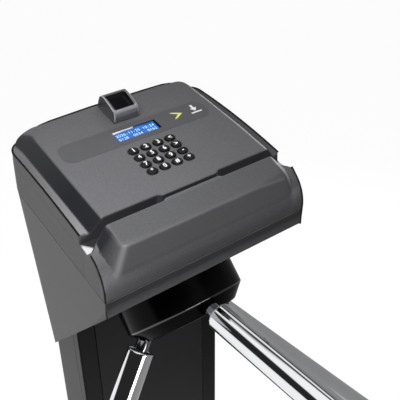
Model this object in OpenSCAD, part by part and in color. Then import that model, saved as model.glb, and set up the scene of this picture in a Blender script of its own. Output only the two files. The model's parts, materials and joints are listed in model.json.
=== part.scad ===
// Tripod turnstile with a card slot, keypad, display and fingerprint reader.
// Millimetres, +Z up, front faces -Y. The origin is the centre of the floor bolt pattern.

/* [Base] */
// Width of the base plate
base_w = 340; // [320:1:400]
// Depth of the base plate
base_d = 300; // [300:1:360]
// Thickness of the base plate
base_t = 10; // [8:1:14]
// Corner radius of the base plate
base_corner_r = 20; // [10:1:25]
// Floor bolt spacing across
bolt_x = 290; // [284:1:300]
// Floor bolt spacing front to back
bolt_y = 250; // [230:1:256]
// Floor bolt hole diameter
bolt_hole_d = 14; // [12:0.5:16]
// Diameter of the cable inlet in the base
cable_hole_d = 40; // [30:1:44]

/* [Column] */
// Inset of the column's sides from the head's, each side
col_inset = 28.5; // [26:0.5:31.5]
// Depth of the column
col_d = 74; // [70:1:78]
// Distance of the column's centre behind the origin
col_y = 40; // [38:0.5:42]
// Sheet thickness of the column
col_wall = 2; // [1.5:0.1:2.5]
// Width of each dark corner trim on the front
trim_w = 29; // [24:0.5:34]
// Gap between neighbouring casing pieces
seam_gap = 0.6; // [0.4:0.1:1]

/* [Head] */
// Height of the panel's front edge above the floor
panel_h = 985; // [950:1:1020]
// Distance of the panel's front edge in front of the origin
panel_ahead = 103; // [101:0.5:105]
// Slope of the panel down to the front, degrees
tilt = 13; // [12:0.5:14]
// Width of the head at the seam
head_w = 314; // [308:1:320]
// Inset of the side ledges from the seam, each side
ledge_inset = 5; // [4:0.5:7]
// Reach of the nose ahead of the panel's front edge
nose_reach = 47; // [46:0.5:49]
// Reach of the head behind the panel's front edge
head_back = 185; // [184:0.5:188]
// Drop from the panel to the ends of the side ledge
ledge_drop = 17.6; // [16:0.2:19]
// Rise of the side ledge's arch between its ends
ledge_rise = 5; // [3:0.25:6]
// Drop from the panel to the seam under the cover
seam_drop = 71; // [69:0.5:73]
// Height of the housing's front wall below the seam
skirt_h = 22; // [20:0.5:24]
// Slope of the underside, degrees
under_angle = 45; // [44:0.5:46]
// Radius of the head's back corners at the seam
corner_r = 28; // [24:1:32]
// Radius of the back corners at the ledge
ledge_corner_r = 22; // [18:1:26]
// Radius of the back corners at the foot of the head
foot_corner_r = 15; // [12:1:17]
// Inward lean of the lower housing's sides, degrees
side_draft = 4; // [3.5:0.1:4.2]
// Wall thickness of the head's shells
wall = 3; // [2.5:0.1:3.2]
// Radius of the nose
nose_r = 54; // [53:0.5:56]
// Height of the nose's centre above the seam
nose_lift = 9.85; // [9:0.05:11]
// Depth of the nose's round, front to back
nose_depth = 25; // [24:0.5:26]

/* [Panel and card slot] */
// Inset of the raised panel from the seam, each side
panel_inset = 30.5; // [28:0.5:33]
// Width of the sloped side of the raised panel
chamfer_w = 15.5; // [14:0.5:17]
// Depth of the card slot below the panel
slot_depth = 29; // [27:0.5:30]
// Width of the card slot at its flared ends
slot_gap = 9.6; // [9:0.1:10.4]
// Width of the card slot at its neck
neck_gap = 4.8; // [4.6:0.1:5.2]
// Length of the card slot's neck
neck_w = 84; // [76:1:92]
// Length of each flare between neck and end
flare_w = 6; // [4:0.5:9]
// Drop of the nose bulge at its front edge
bulge_drop = 16; // [14:0.5:18]
// Reach of the nose bulge ahead of the panel
bulge_reach = 42.5; // [42:0.25:43]

/* [Keypad] */
// Key pitch across
key_pitch_x = 19.05; // [18.4:0.05:19.6]
// Key pitch up the slope
key_pitch_y = 14.4; // [14:0.05:14.8]
// Width of a key
key_w = 15; // [14:0.1:15.4]
// Height of a key
key_h = 11.4; // [10.6:0.1:11.6]
// Rise of a key above the panel
key_rise = 2.6; // [2:0.1:3.2]
// Travel of a key
key_travel = 1.2; // [0.8:0.1:1.4]
// Distance of the keypad's centre up the slope
keypad_v = 59.3; // [57:0.1:61]

/* [Display and label] */
// Width of the display window
lcd_w = 66.6; // [62:0.2:70]
// Height of the display window
lcd_h = 19.7; // [18:0.1:22]
// Distance of the display's centre up the slope
lcd_v = 115.2; // [113:0.1:116]
// Inset of the label strip from the panel's sides
label_inset = 12.5; // [9:0.5:18]
// Height of the label strip
label_h = 36; // [33:0.5:38]
// Corner radius of the label strip
label_r = 14; // [10:0.5:16]
// Thickness of the label strip
label_t = 0.4; // [0.3:0.1:0.6]

/* [Fingerprint reader] */
// Width of the fingerprint reader
fp_w = 41; // [38:0.5:44]
// Depth of the fingerprint reader's foot
fp_d = 43; // [41:0.5:44]
// Distance of its front up the slope
fp_v = 140; // [139:0.1:140.8]
// Height of its front edge
fp_front_h = 18.3; // [17:0.1:20]
// Height of its back edge
fp_back_h = 23; // [22:0.1:26]
// Thickness of each side cheek
fp_cheek = 6; // [5:0.25:8]
// Size of the square sensor window
fp_window = 19; // [17:0.5:20]

/* [Hub] */
// Distance of the hub's axis from the head's front edge along the underside
hub_along = 124.5; // [122:0.5:126]
// Depth of the arms' common point inside the underside
apex_depth = 20.2; // [19:0.1:22]
// Diameter of the hub
hub_d = 177; // [170:0.5:179]
// Depth of the hub's rim below the arms' common point
rim_h = 55.8; // [54:0.2:58]
// Width of the hub's bevel, measured across
bevel_w = 18.5; // [16:0.5:21]
// Wall thickness of the hub cover
hub_wall = 4; // [3:0.25:5]
// Running gap between the hub and the head
hub_gap = 2; // [1.5:0.1:3]

/* [Arms] */
// Diameter of an arm
arm_d = 38.1; // [36:0.1:40]
// Wall thickness of an arm's tube
arm_wall = 1.5; // [1.2:0.1:2]
// Distance of a tube's inner end from the arms' common point
arm_start = 117; // [115:0.5:122]
// Distance of a tube's outer end from the arms' common point
arm_end = 556; // [500:1:600]
// Distance of a neck's inner end from the arms' common point
neck_start = 50; // [48:0.5:54]
// Diameter of the neck between hub and tube
neck_d = 20; // [18:0.2:22]

/* [Electronics] */
// Width of the power supply
supply_w = 160; // [140:1:180]
// Depth of the power supply
supply_d = 40; // [34:1:44]
// Height of the power supply
supply_h = 98; // [80:1:110]
// Height of the power supply above the floor
supply_z = 320; // [250:1:400]
// Width of the control board
control_w = 180; // [170:1:190]
// Height of the control board
control_h = 110; // [100:1:116]
// Drop from the panel's front edge to the control board's centre
control_drop = 120; // [116:1:124]

/* [Drive] */
// Length of the mechanism plate ahead of the hub's axis
plate_ahead = 98; // [96:0.5:99]
// Length of the mechanism plate behind the hub's axis
plate_behind = 66; // [64:0.5:67]
// Diameter of the main shaft
shaft_d = 25; // [24:0.1:26]
// Outer diameter of the bearings
bearing_d = 52; // [50:0.5:53]
// Width of a bearing
bearing_w = 15; // [14:0.5:16]
// Radial running clearance
run_clear = 0.05; // [0.02:0.01:0.08]
// Diameter of the index cam
cam_d = 84; // [80:0.5:86]
// Diameter of the detent roller
roller_d = 18; // [16:0.5:20]
// Travel of a lock plunger
plunger_travel = 3; // [2:0.1:3.4]

/* [Hidden] */
$fn = 64;
eps = 1;
tn = tan(tilt);
panel_y = -panel_ahead;
seam_half = head_w / 2;
panel_half = seam_half - panel_inset;
label_w = 2 * (panel_half - label_inset);
col_w = head_w - 2 * col_inset;
side_half = panel_half + chamfer_w;
col_front = col_y - col_d / 2;
col_back = col_y + col_d / 2;
col_half = col_w / 2;

// Side profile of the head, measured from the panel's front edge
seam_front = -nose_reach * tn - seam_drop;
foot_z = seam_front - skirt_h;
ledge_half = seam_half - ledge_inset;
ledge_mid = head_back * 0.34;
ledge_reach = head_back * 0.57;
foot_below = (head_back + nose_reach) * tan(under_angle) + skirt_h + 66;
foot_drop = seam_drop + foot_below;
foot_half = seam_half - foot_below * tan(side_draft);
crown_drop = -50;
crown_part = (ledge_drop - crown_drop) / (seam_drop - ledge_drop);
crown_half = ledge_half - (seam_half - ledge_half) * crown_part;
crown_corner_r = ledge_corner_r - (corner_r - ledge_corner_r) * crown_part;
past = 6;
nose_cy = nose_r - nose_reach;
nose_cz = seam_front + nose_lift;
nose_top_y = nose_depth - nose_reach;
nose_top_a = acos((nose_top_y - nose_cy) / nose_r);
slot_back_y = 3.5;
slot_front_y = -slot_gap - 2.6;
slot_floor_back = -slot_depth + 2.5;
slot_floor_front = -slot_depth - 2;
bulge_back_z = -3.3;
bulge_foot_z = -49;
under_back_z = foot_z - (head_back + nose_reach) * tan(under_angle);

// Places of the drive, in the head's side view
hub_y = panel_y - nose_reach + hub_along * cos(under_angle) + apex_depth * sin(under_angle);
hub_z = panel_h + foot_z - hub_along * sin(under_angle) + apex_depth * cos(under_angle);
arm_cone = 90 - under_angle;
arm_turns = [-90, 30, 150];
arm_r = arm_d / 2;
neck_r = neck_d / 2;
hub_r = hub_d / 2;
face_h = rim_h + bevel_w;
boss_r = neck_r + 4;
boss_end = (face_h - hub_wall - 3.8 - boss_r * sin(arm_cone)) / cos(arm_cone);
cross_t = boss_end - 8;
shaft_r = shaft_d / 2;
bearing_r = bearing_d / 2;
plate_z = -apex_depth + wall + 1.2;
plate_t = 6;
plate_l = plate_ahead + plate_behind;
plate_top = plate_z + plate_t;
bracket_x = col_half - col_wall - 3.1;
bracket_t = 3;
housing_top = plate_top + 70;
rear_bearing_z = housing_top - bearing_w - 1;
nut_z = housing_top + 0.6;
cam_z = nut_z + 10.4;
cam_t = 10;
cam_r = cam_d / 2;
roller_r = roller_d / 2;
roller_x = cam_r + roller_r + 0.5;
lever_x = roller_x + 22;
lever_y = -42;
lever_pin_r = 4;
plunger_r = 5;
plunger_y = 20;
plunger_tip_x = -(cam_r + plunger_travel);
coil_x = plunger_tip_x - 16;
coil_l = 40;
column_top = panel_h + foot_z - (col_front - panel_y + nose_reach) * tan(under_angle) + 58;
trim_top = column_top - 56;
key_clear = 0.35;
board_top = -8;
control_back = head_back + panel_y - wall - 11.4;
control_z = panel_h - control_drop;
screw_x = seam_half - 24;
screw_ys = [40, 140];
tab_t = 12;

// Frames of the head, the sloped panel, the drive and one arm
module head_frame() {
    translate([0, panel_y, panel_h]) children();
}

module panel_frame() {
    head_frame() rotate([tilt, 0, 0]) children();
}

module drive_frame() {
    translate([0, hub_y, hub_z]) rotate([-under_angle, 0, 0]) children();
}

// +Z runs outwards along the arm from the arms' common point
module arm_frame(i) {
    drive_frame() rotate([0, 0, arm_turns[i]]) rotate([0, 180 - arm_cone, 0]) children();
}

// Stands a (Y, Z) outline up and extrudes it across X
module across(w) {
    rotate([90, 0, 90]) linear_extrude(w, center = true) children();
}

module tube(r_out, r_in, h) {
    difference() {
        cylinder(r = r_out, h = h);
        translate([0, 0, -eps]) cylinder(r = r_in, h = h + 2 * eps);
    }
}

module slot_shape(w, h) {
    square([w - h, h], center = true);
    for (s = [-1, 1]) translate([s * (w - h) / 2, 0]) circle(d = h);
}

module rounded_plate(w, d, r) {
    square([w - 2 * r, d], center = true);
    square([w, d - 2 * r], center = true);
    for (x = [-1, 1], y = [-1, 1]) translate([x * (w / 2 - r), y * (d / 2 - r)]) circle(r = r);
}

// Outlines of the head
function arc(cx, cy, r, a0, a1, n) =
    [for (i = [0 : n]) let (a = a0 + (a1 - a0) * i / n) [cx + r * cos(a), cy + r * sin(a)]];

module head_plan(half, corner, inset) {
    w = half - inset;
    r = corner - inset;
    back = head_back - inset;
    polygon(concat(
        [[-w, -nose_reach - past], [w, -nose_reach - past]],
        arc(w - r, back - r, r, 0, 90, 9),
        arc(r - w, back - r, r, 90, 180, 9)
    ));
}

// Thin slice of the head, parallel to the panel
module plan_slice(drop, half, corner, inset) {
    intersection() {
        translate([0, 0, -500]) linear_extrude(700) head_plan(half, corner, inset);
        across(head_w + 20) polygon([
            [-80, -80 * tn - drop], [240, 240 * tn - drop],
            [240, 240 * tn - drop - 0.1], [-80, -80 * tn - drop - 0.1]
        ]);
    }
}

// The sides lean inwards both ways from the seam
module cover_block(inset) {
    hull() {
        plan_slice(crown_drop, crown_half, crown_corner_r, inset);
        plan_slice(seam_drop + 2 * eps, seam_half, corner_r, inset);
    }
}

module head_block(inset) {
    hull() {
        plan_slice(seam_drop - 2 * eps, seam_half, corner_r, inset);
        plan_slice(foot_drop, foot_half, foot_corner_r, inset);
    }
}

module housing_outline(t) {
    drop = t / cos(under_angle);
    lift = t > 0 ? eps : 0;
    back = head_back + past;
    polygon([
        [-nose_reach + t, foot_z + drop - t * tan(under_angle)],
        [back, under_back_z + drop - past * tan(under_angle)],
        [back, back * tn - seam_drop + lift],
        [-nose_reach + t, (t - nose_reach) * tn - seam_drop + lift]
    ]);
}

// Arched line of the side ledge, or of a line below it
function ledge_z(y) = y * tn - ledge_drop + ledge_rise * (1 - pow((y - ledge_mid) / ledge_reach, 2));

function ledge_line(from, to, below) =
    [for (i = [0 : 12]) let (y = from + (to - from) * i / 12) [y, ledge_z(y) - below]];

module ledge_outline() {
    back = head_back + past;
    polygon(concat(
        [[-nose_reach, seam_front]],
        arc(nose_cy, nose_cz, nose_r, 180, nose_top_a, 10),
        ledge_line(3.1, back, 0),
        [[back, back * tn - seam_drop]]
    ));
}

module raised_outline() {
    back = head_back + past;
    polygon([
        [-bulge_reach - 0.8, bulge_foot_z],
        [-bulge_reach, -bulge_drop],
        [-slot_gap, bulge_back_z],
        [0, 0],
        [back, back * tn],
        [back, back * tn - ledge_drop - 2],
        [0, bulge_foot_z]
    ]);
}

// Cross-section of the raised panel and bulge, looking up the slope
module raised_section(inset) {
    half = panel_half - inset * 0.45;
    low = side_half - inset * 1.25;
    top = -inset;
    polygon([
        [-half, top], [half, top], [low, top - ledge_drop * cos(tilt)], [low, -70],
        [-low, -70], [-low, top - ledge_drop * cos(tilt)]
    ]);
}

module raised_block(inset) {
    rotate([tilt, 0, 0]) translate([0, 260, 0]) rotate([90, 0, 0])
        linear_extrude(340) raised_section(inset);
}

// Space of the card slot, flared at both ends and necked in the middle
module slot_space() {
    difference() {
        across(head_w + 20) polygon([
            [-0.7, 6], [slot_back_y, slot_floor_back], [slot_front_y, slot_floor_front],
            [-slot_gap, bulge_back_z], [-slot_gap, 6]
        ]);
        translate([0, 0, -60]) linear_extrude(80) neck_outline(-(slot_gap - neck_gap) * 0.55, 8);
        translate([0, 0, -60]) linear_extrude(80)
            neck_outline(-slot_gap + (slot_gap - neck_gap) * 0.45, -30);
    }
}

module neck_outline(near, far) {
    flare = (near > far ? -1 : 1) * (slot_gap - neck_gap);
    polygon([
        [-neck_w / 2, near], [neck_w / 2, near], [neck_w / 2 + flare_w, near + flare],
        [neck_w / 2 + flare_w, far], [-neck_w / 2 - flare_w, far],
        [-neck_w / 2 - flare_w, near + flare]
    ]);
}

// Hollow of the cover, kept one wall away from the slot
module cover_hollow() {
    back = head_back + past;
    intersection() {
        cover_block(wall);
        union() {
            across(head_w) polygon(concat(
                [[-nose_reach + wall, seam_front - eps]],
                arc(nose_cy, nose_cz, nose_r - wall, 180, 138, 5),
                [[slot_front_y - 3, slot_floor_front - wall - 1],
                 [slot_back_y + 2, slot_floor_back - wall - 0.6]],
                ledge_line(slot_back_y + wall, back, wall),
                [[back, back * tn - seam_drop - eps]]
            ));
            intersection() {
                raised_block(wall);
                across(head_w) polygon([
                    [slot_back_y + 2, -3], [back, back * tn],
                    [back, back * tn - ledge_drop - 8], [slot_back_y + wall + 1, -ledge_drop - 8]
                ]);
            }
            intersection() {
                raised_block(wall);
                across(head_w) polygon([
                    [-bulge_reach + wall - 0.6, bulge_foot_z + 4],
                    [-bulge_reach + wall, -bulge_drop - 2.6],
                    [-slot_gap - 6.4, bulge_back_z - 5.4], [slot_front_y - 3.4, slot_floor_front - 3],
                    [-bulge_reach + 10, bulge_foot_z + 2]
                ]);
            }
        }
    }
}

// Places of the cover screws, on the seam
module at_cover_screws() {
    for (x = [-1, 1], y = screw_ys) translate([x * screw_x, y, y * tn - seam_drop]) children();
}

// The floor stand
module base_plate() {
    color("#2b2c30") difference() {
        linear_extrude(base_t) rounded_plate(base_w, base_d, base_corner_r);
        for (x = [-1, 1], y = [-1, 1]) translate([x * bolt_x / 2, y * bolt_y / 2, -eps])
            cylinder(d = bolt_hole_d, h = base_t + 2 * eps);
        translate([0, col_y, -eps]) cylinder(d = cable_hole_d, h = base_t + 2 * eps);
    }
}

module cable_grommet() {
    color("#151517") translate([0, col_y, 0]) {
        translate([0, 0, 1]) tube(cable_hole_d / 2, cable_hole_d / 2 - 4, base_t - 1);
        translate([0, 0, base_t]) tube(cable_hole_d / 2 + 4, cable_hole_d / 2 - 4, 3);
    }
}

// Back and sides of the column in one bent sheet
module column_shell() {
    color("#4a4b4f") difference() {
        translate([0, col_y, base_t]) linear_extrude(column_top - base_t) difference() {
            square([col_w, col_d], center = true);
            translate([0, -col_wall]) square([col_w - 2 * col_wall, col_d], center = true);
        }
        for (y = [20, 52]) translate([0, y, column_top - 20]) rotate([0, 90, 0])
            cylinder(d = 6.2, h = col_w + 20, center = true);
    }
}

module corner_trim(s) {
    outer = col_half - col_wall;
    color("#17181b") translate([0, 0, base_t]) linear_extrude(trim_top - base_t) {
        translate([s > 0 ? outer - trim_w + col_wall : -outer, col_front])
            square([trim_w - col_wall, 3]);
        translate([s > 0 ? outer - 3 : -outer, col_front + 3]) square([3, 20]);
    }
}

module column_trim_left() {
    corner_trim(-1);
}

module column_trim_right() {
    corner_trim(1);
}

// Service door with folded edges
module column_door() {
    half = col_half - trim_w - seam_gap;
    color("#2d2e32") translate([0, 0, base_t + seam_gap]) linear_extrude(trim_top - base_t - seam_gap) {
        translate([-half, col_front]) square([2 * half, col_wall]);
        for (s = [-1, 1]) translate([s > 0 ? half - col_wall : -half, col_front + col_wall])
            square([col_wall, 16]);
    }
}

module power_supply() {
    color("#9a9ca0") translate([-supply_w / 2, col_back - col_wall - supply_d, supply_z]) difference() {
        cube([supply_w, supply_d, supply_h]);
        for (i = [1 : 9]) translate([supply_w * i / 10 - 2.5, -eps, supply_h * 0.7])
            cube([5, 4, supply_h * 0.2]);
    }
}

// The frame inside the head
module bracket(s) {
    x = s > 0 ? bracket_x : -bracket_x - bracket_t;
    color("#a9abb0") difference() {
        union() {
            translate([x, col_front + 2, trim_top + 2])
                cube([bracket_t, col_d - col_wall - 8, column_top - trim_top - 4]);
            drive_frame() translate([x, -plate_ahead, plate_z])
                cube([bracket_t, plate_l + 2, 40]);
        }
        for (y = [20, 52]) translate([s * bracket_x, y, column_top - 20]) rotate([0, 90, 0])
            cylinder(d = 6.2, h = 20, center = true);
        drive_frame() for (y = [-70, 30]) translate([s * bracket_x, y, plate_top + 16])
            rotate([0, 90, 0]) cylinder(d = 6.2, h = 20, center = true);
    }
}

module bracket_left() {
    bracket(-1);
}

module bracket_right() {
    bracket(1);
}

module mechanism_plate() {
    color("#b5b7bb") drive_frame() difference() {
        union() {
            translate([-bracket_x + 0.2, -plate_ahead, plate_z])
                cube([2 * bracket_x - 0.4, plate_l, plate_t]);
            for (x = [bracket_x - 3.2, 0.2 - bracket_x]) translate([x, 8 - plate_ahead, plate_top])
                cube([3, plate_l - 24, 28]);
            translate([lever_x, lever_y, plate_top]) cylinder(r = 7, h = cam_z - 0.6 - plate_top);
            translate([lever_x, lever_y, cam_z - 0.6]) cylinder(r = lever_pin_r, h = cam_t + 3);
            for (y = [-1, 1]) translate([coil_x - coil_l / 2, y * plunger_y, plate_top])
                cylinder(r = 6, h = cam_z - 9 - plate_top);
        }
        translate([0, 0, plate_z - eps]) cylinder(r = bearing_r + 7, h = plate_t + 2 * eps);
        for (a = [45 : 90 : 315]) rotate([0, 0, a]) translate([bearing_r + 17, 0, plate_z - eps])
            cylinder(d = 6.2, h = plate_t + 2 * eps);
        for (s = [-1, 1], y = [-70, 30]) translate([s * bracket_x, y, plate_top + 16])
            rotate([0, 90, 0]) cylinder(d = 6.2, h = 20, center = true);
    }
}

module cap_bolt(l) {
    cylinder(d = 6, h = l);
    translate([0, 0, l]) cylinder(d = 10, h = 5);
}

module frame_bolts() {
    color("#c9cbd0") {
        for (s = [-1, 1], y = [20, 52]) translate([s * bracket_x, y, column_top - 20])
            rotate([0, s * 90, 0]) cap_bolt(col_half - bracket_x);
        drive_frame() for (s = [-1, 1], y = [-70, 30])
            translate([s * (bracket_x - 3.2), y, plate_top + 16]) rotate([0, s * 90, 0])
                cap_bolt(bracket_t + 3.2);
        drive_frame() for (a = [45 : 90 : 315]) rotate([0, 0, a])
            translate([bearing_r + 17, 0, plate_z]) cap_bolt(plate_t + 8);
    }
}

// Places of the control board's posts on the back wall
module at_control_posts() {
    for (x = [-1, 1], z = [-1, 1])
        translate([x * (control_w / 2 - 20), control_back, control_z + z * (control_h / 2 - 15)])
            children();
}

// The casing of the head
module lower_housing() {
    color("#5b5c60") difference() {
        union() {
            head_frame() difference() {
                intersection() {
                    head_block(0);
                    across(head_w + 20) housing_outline(0);
                }
                intersection() {
                    head_block(wall);
                    across(head_w + 20) housing_outline(wall);
                }
            }
            head_frame() intersection() {
                at_cover_screws() {
                    translate([0, 0, -60]) cylinder(r = 7, h = 120);
                    translate([-28, -5, -60]) cube([56, 10, 120]);
                }
                head_block(wall / 2);
                across(head_w + 20) polygon([
                    [0, -seam_drop - tab_t], [head_back, head_back * tn - seam_drop - tab_t],
                    [head_back, head_back * tn - seam_drop], [0, -seam_drop]
                ]);
            }
            at_control_posts() rotate([-90, 0, 0])
                cylinder(r = 4, h = head_back + panel_y - wall / 2 - control_back);
        }
        head_frame() at_cover_screws() translate([0, 0, -30]) cylinder(d = 4.4, h = 60);
        translate([-col_half - seam_gap, col_front - seam_gap, panel_h - 400])
            cube([col_w + 2 * seam_gap, col_d + 2 * seam_gap, column_top + seam_gap - panel_h + 400]);
        drive_frame() translate([0, 0, -apex_depth - 8]) cylinder(r = bearing_r + 12, h = 16);
    }
}

module top_cover() {
    color("#67686b") head_frame() difference() {
        union() {
            difference() {
                intersection() {
                    cover_block(0);
                    union() {
                        across(head_w + 20) ledge_outline();
                        intersection() {
                            across(head_w + 20) raised_outline();
                            raised_block(0);
                        }
                    }
                }
                cover_hollow();
                slot_space();
            }
            intersection() {
                at_cover_screws() translate([0, 0, -60]) cylinder(r = 7, h = 160);
                across(head_w) polygon(concat(
                    [[0, -seam_drop], [head_back, head_back * tn - seam_drop]],
                    ledge_line(head_back, 0, wall / 2)
                ));
            }
            for (x = [-36, 36]) translate([x - 4, slot_back_y + 1, slot_floor_back - 2])
                cube([8, wall + 0.6, 9]);
            rotate([tilt, 0, 0]) at_board_posts() {
                translate([0, 0, board_top]) cylinder(r = 4, h = -board_top - wall / 2);
                translate([0, 0, board_top - 2.4]) cylinder(d = 3, h = 3);
            }
        }
        at_cover_screws() translate([0, 0, -10]) cylinder(d = 4, h = 32);
        rotate([tilt, 0, 0]) {
            at_keys() translate([0, 0, -10]) linear_extrude(20)
                slot_shape(key_w + 2 * key_clear, key_h + 2 * key_clear);
            translate([0, lcd_v, -5]) cube([lcd_w, lcd_h, 20], center = true);
            translate([0, fp_v + fp_d / 2, -6]) cylinder(r = 5, h = 10);
        }
    }
}

module cover_screws() {
    color("#3a3b3e") head_frame() at_cover_screws() {
        translate([0, 0, -tab_t]) cylinder(d = 4, h = tab_t + 20);
        translate([0, 0, -tab_t - 5]) cylinder(d = 8, h = 3);
        translate([0, 0, -tab_t - 2]) cylinder(d = 4, h = 2);
    }
}

module label_strip() {
    color("#56575b") panel_frame() difference() {
        translate([0, lcd_v, 0]) linear_extrude(label_t) rounded_plate(label_w, label_h, label_r);
        translate([0, lcd_v, 0]) cube([lcd_w, lcd_h, 4], center = true);
    }
}

module lcd_window() {
    color("#2f6fe0") panel_frame() translate([0, lcd_v, -1.8]) cube([lcd_w, lcd_h, 2.2], center = true);
}

module lcd_module() {
    color("#1f4a2c") panel_frame() {
        translate([0, lcd_v, -13.2]) cube([82, 36, 1.6], center = true);
        translate([-lcd_w / 2 - 2.5, lcd_v - lcd_h / 2 - 2.5, -12.4])
            cube([lcd_w + 5, lcd_h + 5, 12.4 - wall]);
    }
}

// Keys are numbered along the rows from the back row
module at_keys() {
    for (i = [0 : 15]) at_key(i) children();
}

module at_key(i) {
    translate([(i % 4 - 1.5) * key_pitch_x, keypad_v + (1.5 - floor(i / 4)) * key_pitch_y, 0])
        children();
}

module key(i) {
    color("#141416") panel_frame() at_key(i) {
        translate([0, 0, -3.6]) linear_extrude(key_rise + 3.6) slot_shape(key_w, key_h);
        translate([0, 0, -5.2]) linear_extrude(1.6) slot_shape(key_w + 2.6, key_h + 2.4);
        translate([0, 0, board_top + key_travel + 0.4]) cylinder(r = 3, h = 2);
    }
}

module at_board_posts() {
    for (x = [-44, 44], y = [-30, 30]) translate([x, keypad_v + y, 0]) children();
}

module keypad_board() {
    color("#1f4a2c") panel_frame() difference() {
        translate([-48, keypad_v - 34, board_top - 1.6]) cube([96, 68, 1.6]);
        at_board_posts() translate([0, 0, board_top - 3]) cylinder(d = 3.2, h = 5);
    }
}

module card_reader_module() {
    color("#26272a") head_frame() {
        translate([-45, slot_back_y + wall + 1.6, -40]) cube([90, 20, 26]);
        translate([-30, slot_back_y + wall + 21.6, -36]) cube([60, 6, 12]);
    }
}

module fingerprint_housing() {
    foot = fp_v + fp_d;
    trough_w = fp_w - 2 * fp_cheek;
    color("#3a3b3f") panel_frame() difference() {
        across(fp_w) polygon(concat(
            [[fp_v, 0], [fp_v + 4.6, fp_front_h - 2.2], [fp_v + 6.4, fp_front_h]],
            [for (i = [1 : 5]) [fp_v + 6.4 + 27 * i / 5,
                fp_front_h + (fp_back_h - fp_front_h) * sin(18 * i)]],
            [[foot - 4, fp_back_h - 3], [foot - 1, fp_back_h - 9], [foot, 0]]
        ));
        across(trough_w) polygon([
            [fp_v + 10, fp_front_h - 3.4], [fp_v + 33, fp_back_h - 6.4],
            [fp_v + 36, fp_back_h + 6], [fp_v + 2, fp_back_h + 6], [fp_v + 2, fp_front_h - 0.6]
        ]);
        translate([0, fp_v + 21, 13.2]) rotate([10, 0, 0])
            cube([fp_window, fp_window, 60], center = true);
    }
}

module fingerprint_window() {
    color("#08080a") panel_frame() translate([0, fp_v + 21, 13.2]) rotate([10, 0, 0])
        cube([fp_window, fp_window, 2.4], center = true);
}

module control_board() {
    color("#1f4a2c") translate([0, control_back - 0.8, control_z]) {
        cube([control_w, 1.6, control_h], center = true);
        for (part = [-1 / 3, -1 / 9, 1 / 6]) translate([part * control_w, -4, 10])
            cube([26, 6.4, 20], center = true);
        translate([control_w / 2 - 20, -7, -20]) cube([20, 12.4, 40], center = true);
    }
}

// The drive, along the hub's axis
module bearing_housing() {
    color("#8e9095") drive_frame() difference() {
        union() {
            translate([0, 0, plate_top]) cylinder(r = bearing_r + 26, h = 8);
            translate([0, 0, plate_z]) cylinder(r = bearing_r + 7, h = housing_top - plate_z);
        }
        translate([0, 0, plate_z - eps]) cylinder(r = bearing_r - 4, h = 120);
        translate([0, 0, plate_z - eps]) cylinder(r = bearing_r, h = bearing_w + eps);
        translate([0, 0, rear_bearing_z]) cylinder(r = bearing_r, h = 60);
        for (a = [45 : 90 : 315]) rotate([0, 0, a]) translate([bearing_r + 17, 0, 0])
            cylinder(d = 6.2, h = 60, center = true);
    }
}

module bearing() {
    color("#d5d7db") {
        tube(bearing_r, bearing_r - 4, bearing_w);
        tube(shaft_r + 4.5, shaft_r + run_clear, bearing_w);
        translate([0, 0, 2]) tube(bearing_r - 4, shaft_r + 4.5, bearing_w - 4);
    }
}

module bearing_front() {
    drive_frame() translate([0, 0, plate_z]) bearing();
}

module bearing_rear() {
    drive_frame() translate([0, 0, rear_bearing_z]) bearing();
}

module main_shaft() {
    color("#c2c4c9") drive_frame() translate([0, 0, -face_h + 14])
        cylinder(r = shaft_r, h = cam_z + cam_t + 6 + face_h - 14);
}

module shaft_nut() {
    color("#9fa1a6") drive_frame() translate([0, 0, nut_z]) difference() {
        cylinder(r = 21, h = 9, $fn = 6);
        translate([0, 0, -eps]) cylinder(r = shaft_r, h = 9 + 2 * eps);
    }
}

// Three hollows hold the hub at its three rest places
module index_cam() {
    color("#7d7f84") drive_frame() translate([0, 0, cam_z]) difference() {
        cylinder(r = cam_r, h = cam_t);
        translate([0, 0, -eps]) cylinder(r = shaft_r, h = cam_t + 2 * eps);
        for (a = [0, 120, 240]) rotate([0, 0, a]) translate([cam_r + 6, 0, -eps])
            cylinder(r = roller_r + 5, h = cam_t + 2 * eps);
    }
}

module detent_lever() {
    color("#8a8c91") drive_frame() translate([0, 0, cam_z]) difference() {
        union() {
            translate([lever_x, lever_y, 0]) cylinder(r = 10, h = cam_t);
            hull() {
                translate([lever_x, lever_y, 0]) cylinder(r = 7, h = 3, $fn = 32);
                translate([roller_x, 0, 0]) cylinder(r = 6, h = 3, $fn = 32);
            }
            translate([roller_x, 0, 0]) cylinder(r = 3, h = cam_t);
        }
        translate([lever_x, lever_y, -eps]) cylinder(r = lever_pin_r + run_clear, h = cam_t + 2 * eps);
    }
}

module detent_roller() {
    color("#d0d2d6") drive_frame() translate([roller_x, 0, cam_z + 3.4]) tube(roller_r, 3, cam_t - 3.4);
}

// Torsion spring wound round the lever's post
function coil_point(t, i, turns, r, pitch, wire) =
    let (a = 360 * turns * t, b = 45 * i, rr = r + wire * cos(b))
    [rr * cos(a), rr * sin(a), pitch * turns * t + wire * sin(b)];

module detent_spring() {
    turns = 6;
    steps = 108;
    wire = 1;
    rows = [for (k = [0 : steps], i = [0 : 7])
        coil_point(k / steps, i, turns, 8.3, 2.6, wire)];
    sides = [for (k = [0 : steps - 1], i = [0 : 7])
        [k * 8 + i, k * 8 + (i + 1) % 8, (k + 1) * 8 + (i + 1) % 8, (k + 1) * 8 + i]];
    caps = [[for (i = [7 : -1 : 0]) i], [for (i = [0 : 7]) steps * 8 + i]];
    color("#b9bbc0") drive_frame() translate([lever_x, lever_y, cam_z - 22])
        polyhedron(rows, concat(caps, sides));
}

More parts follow.
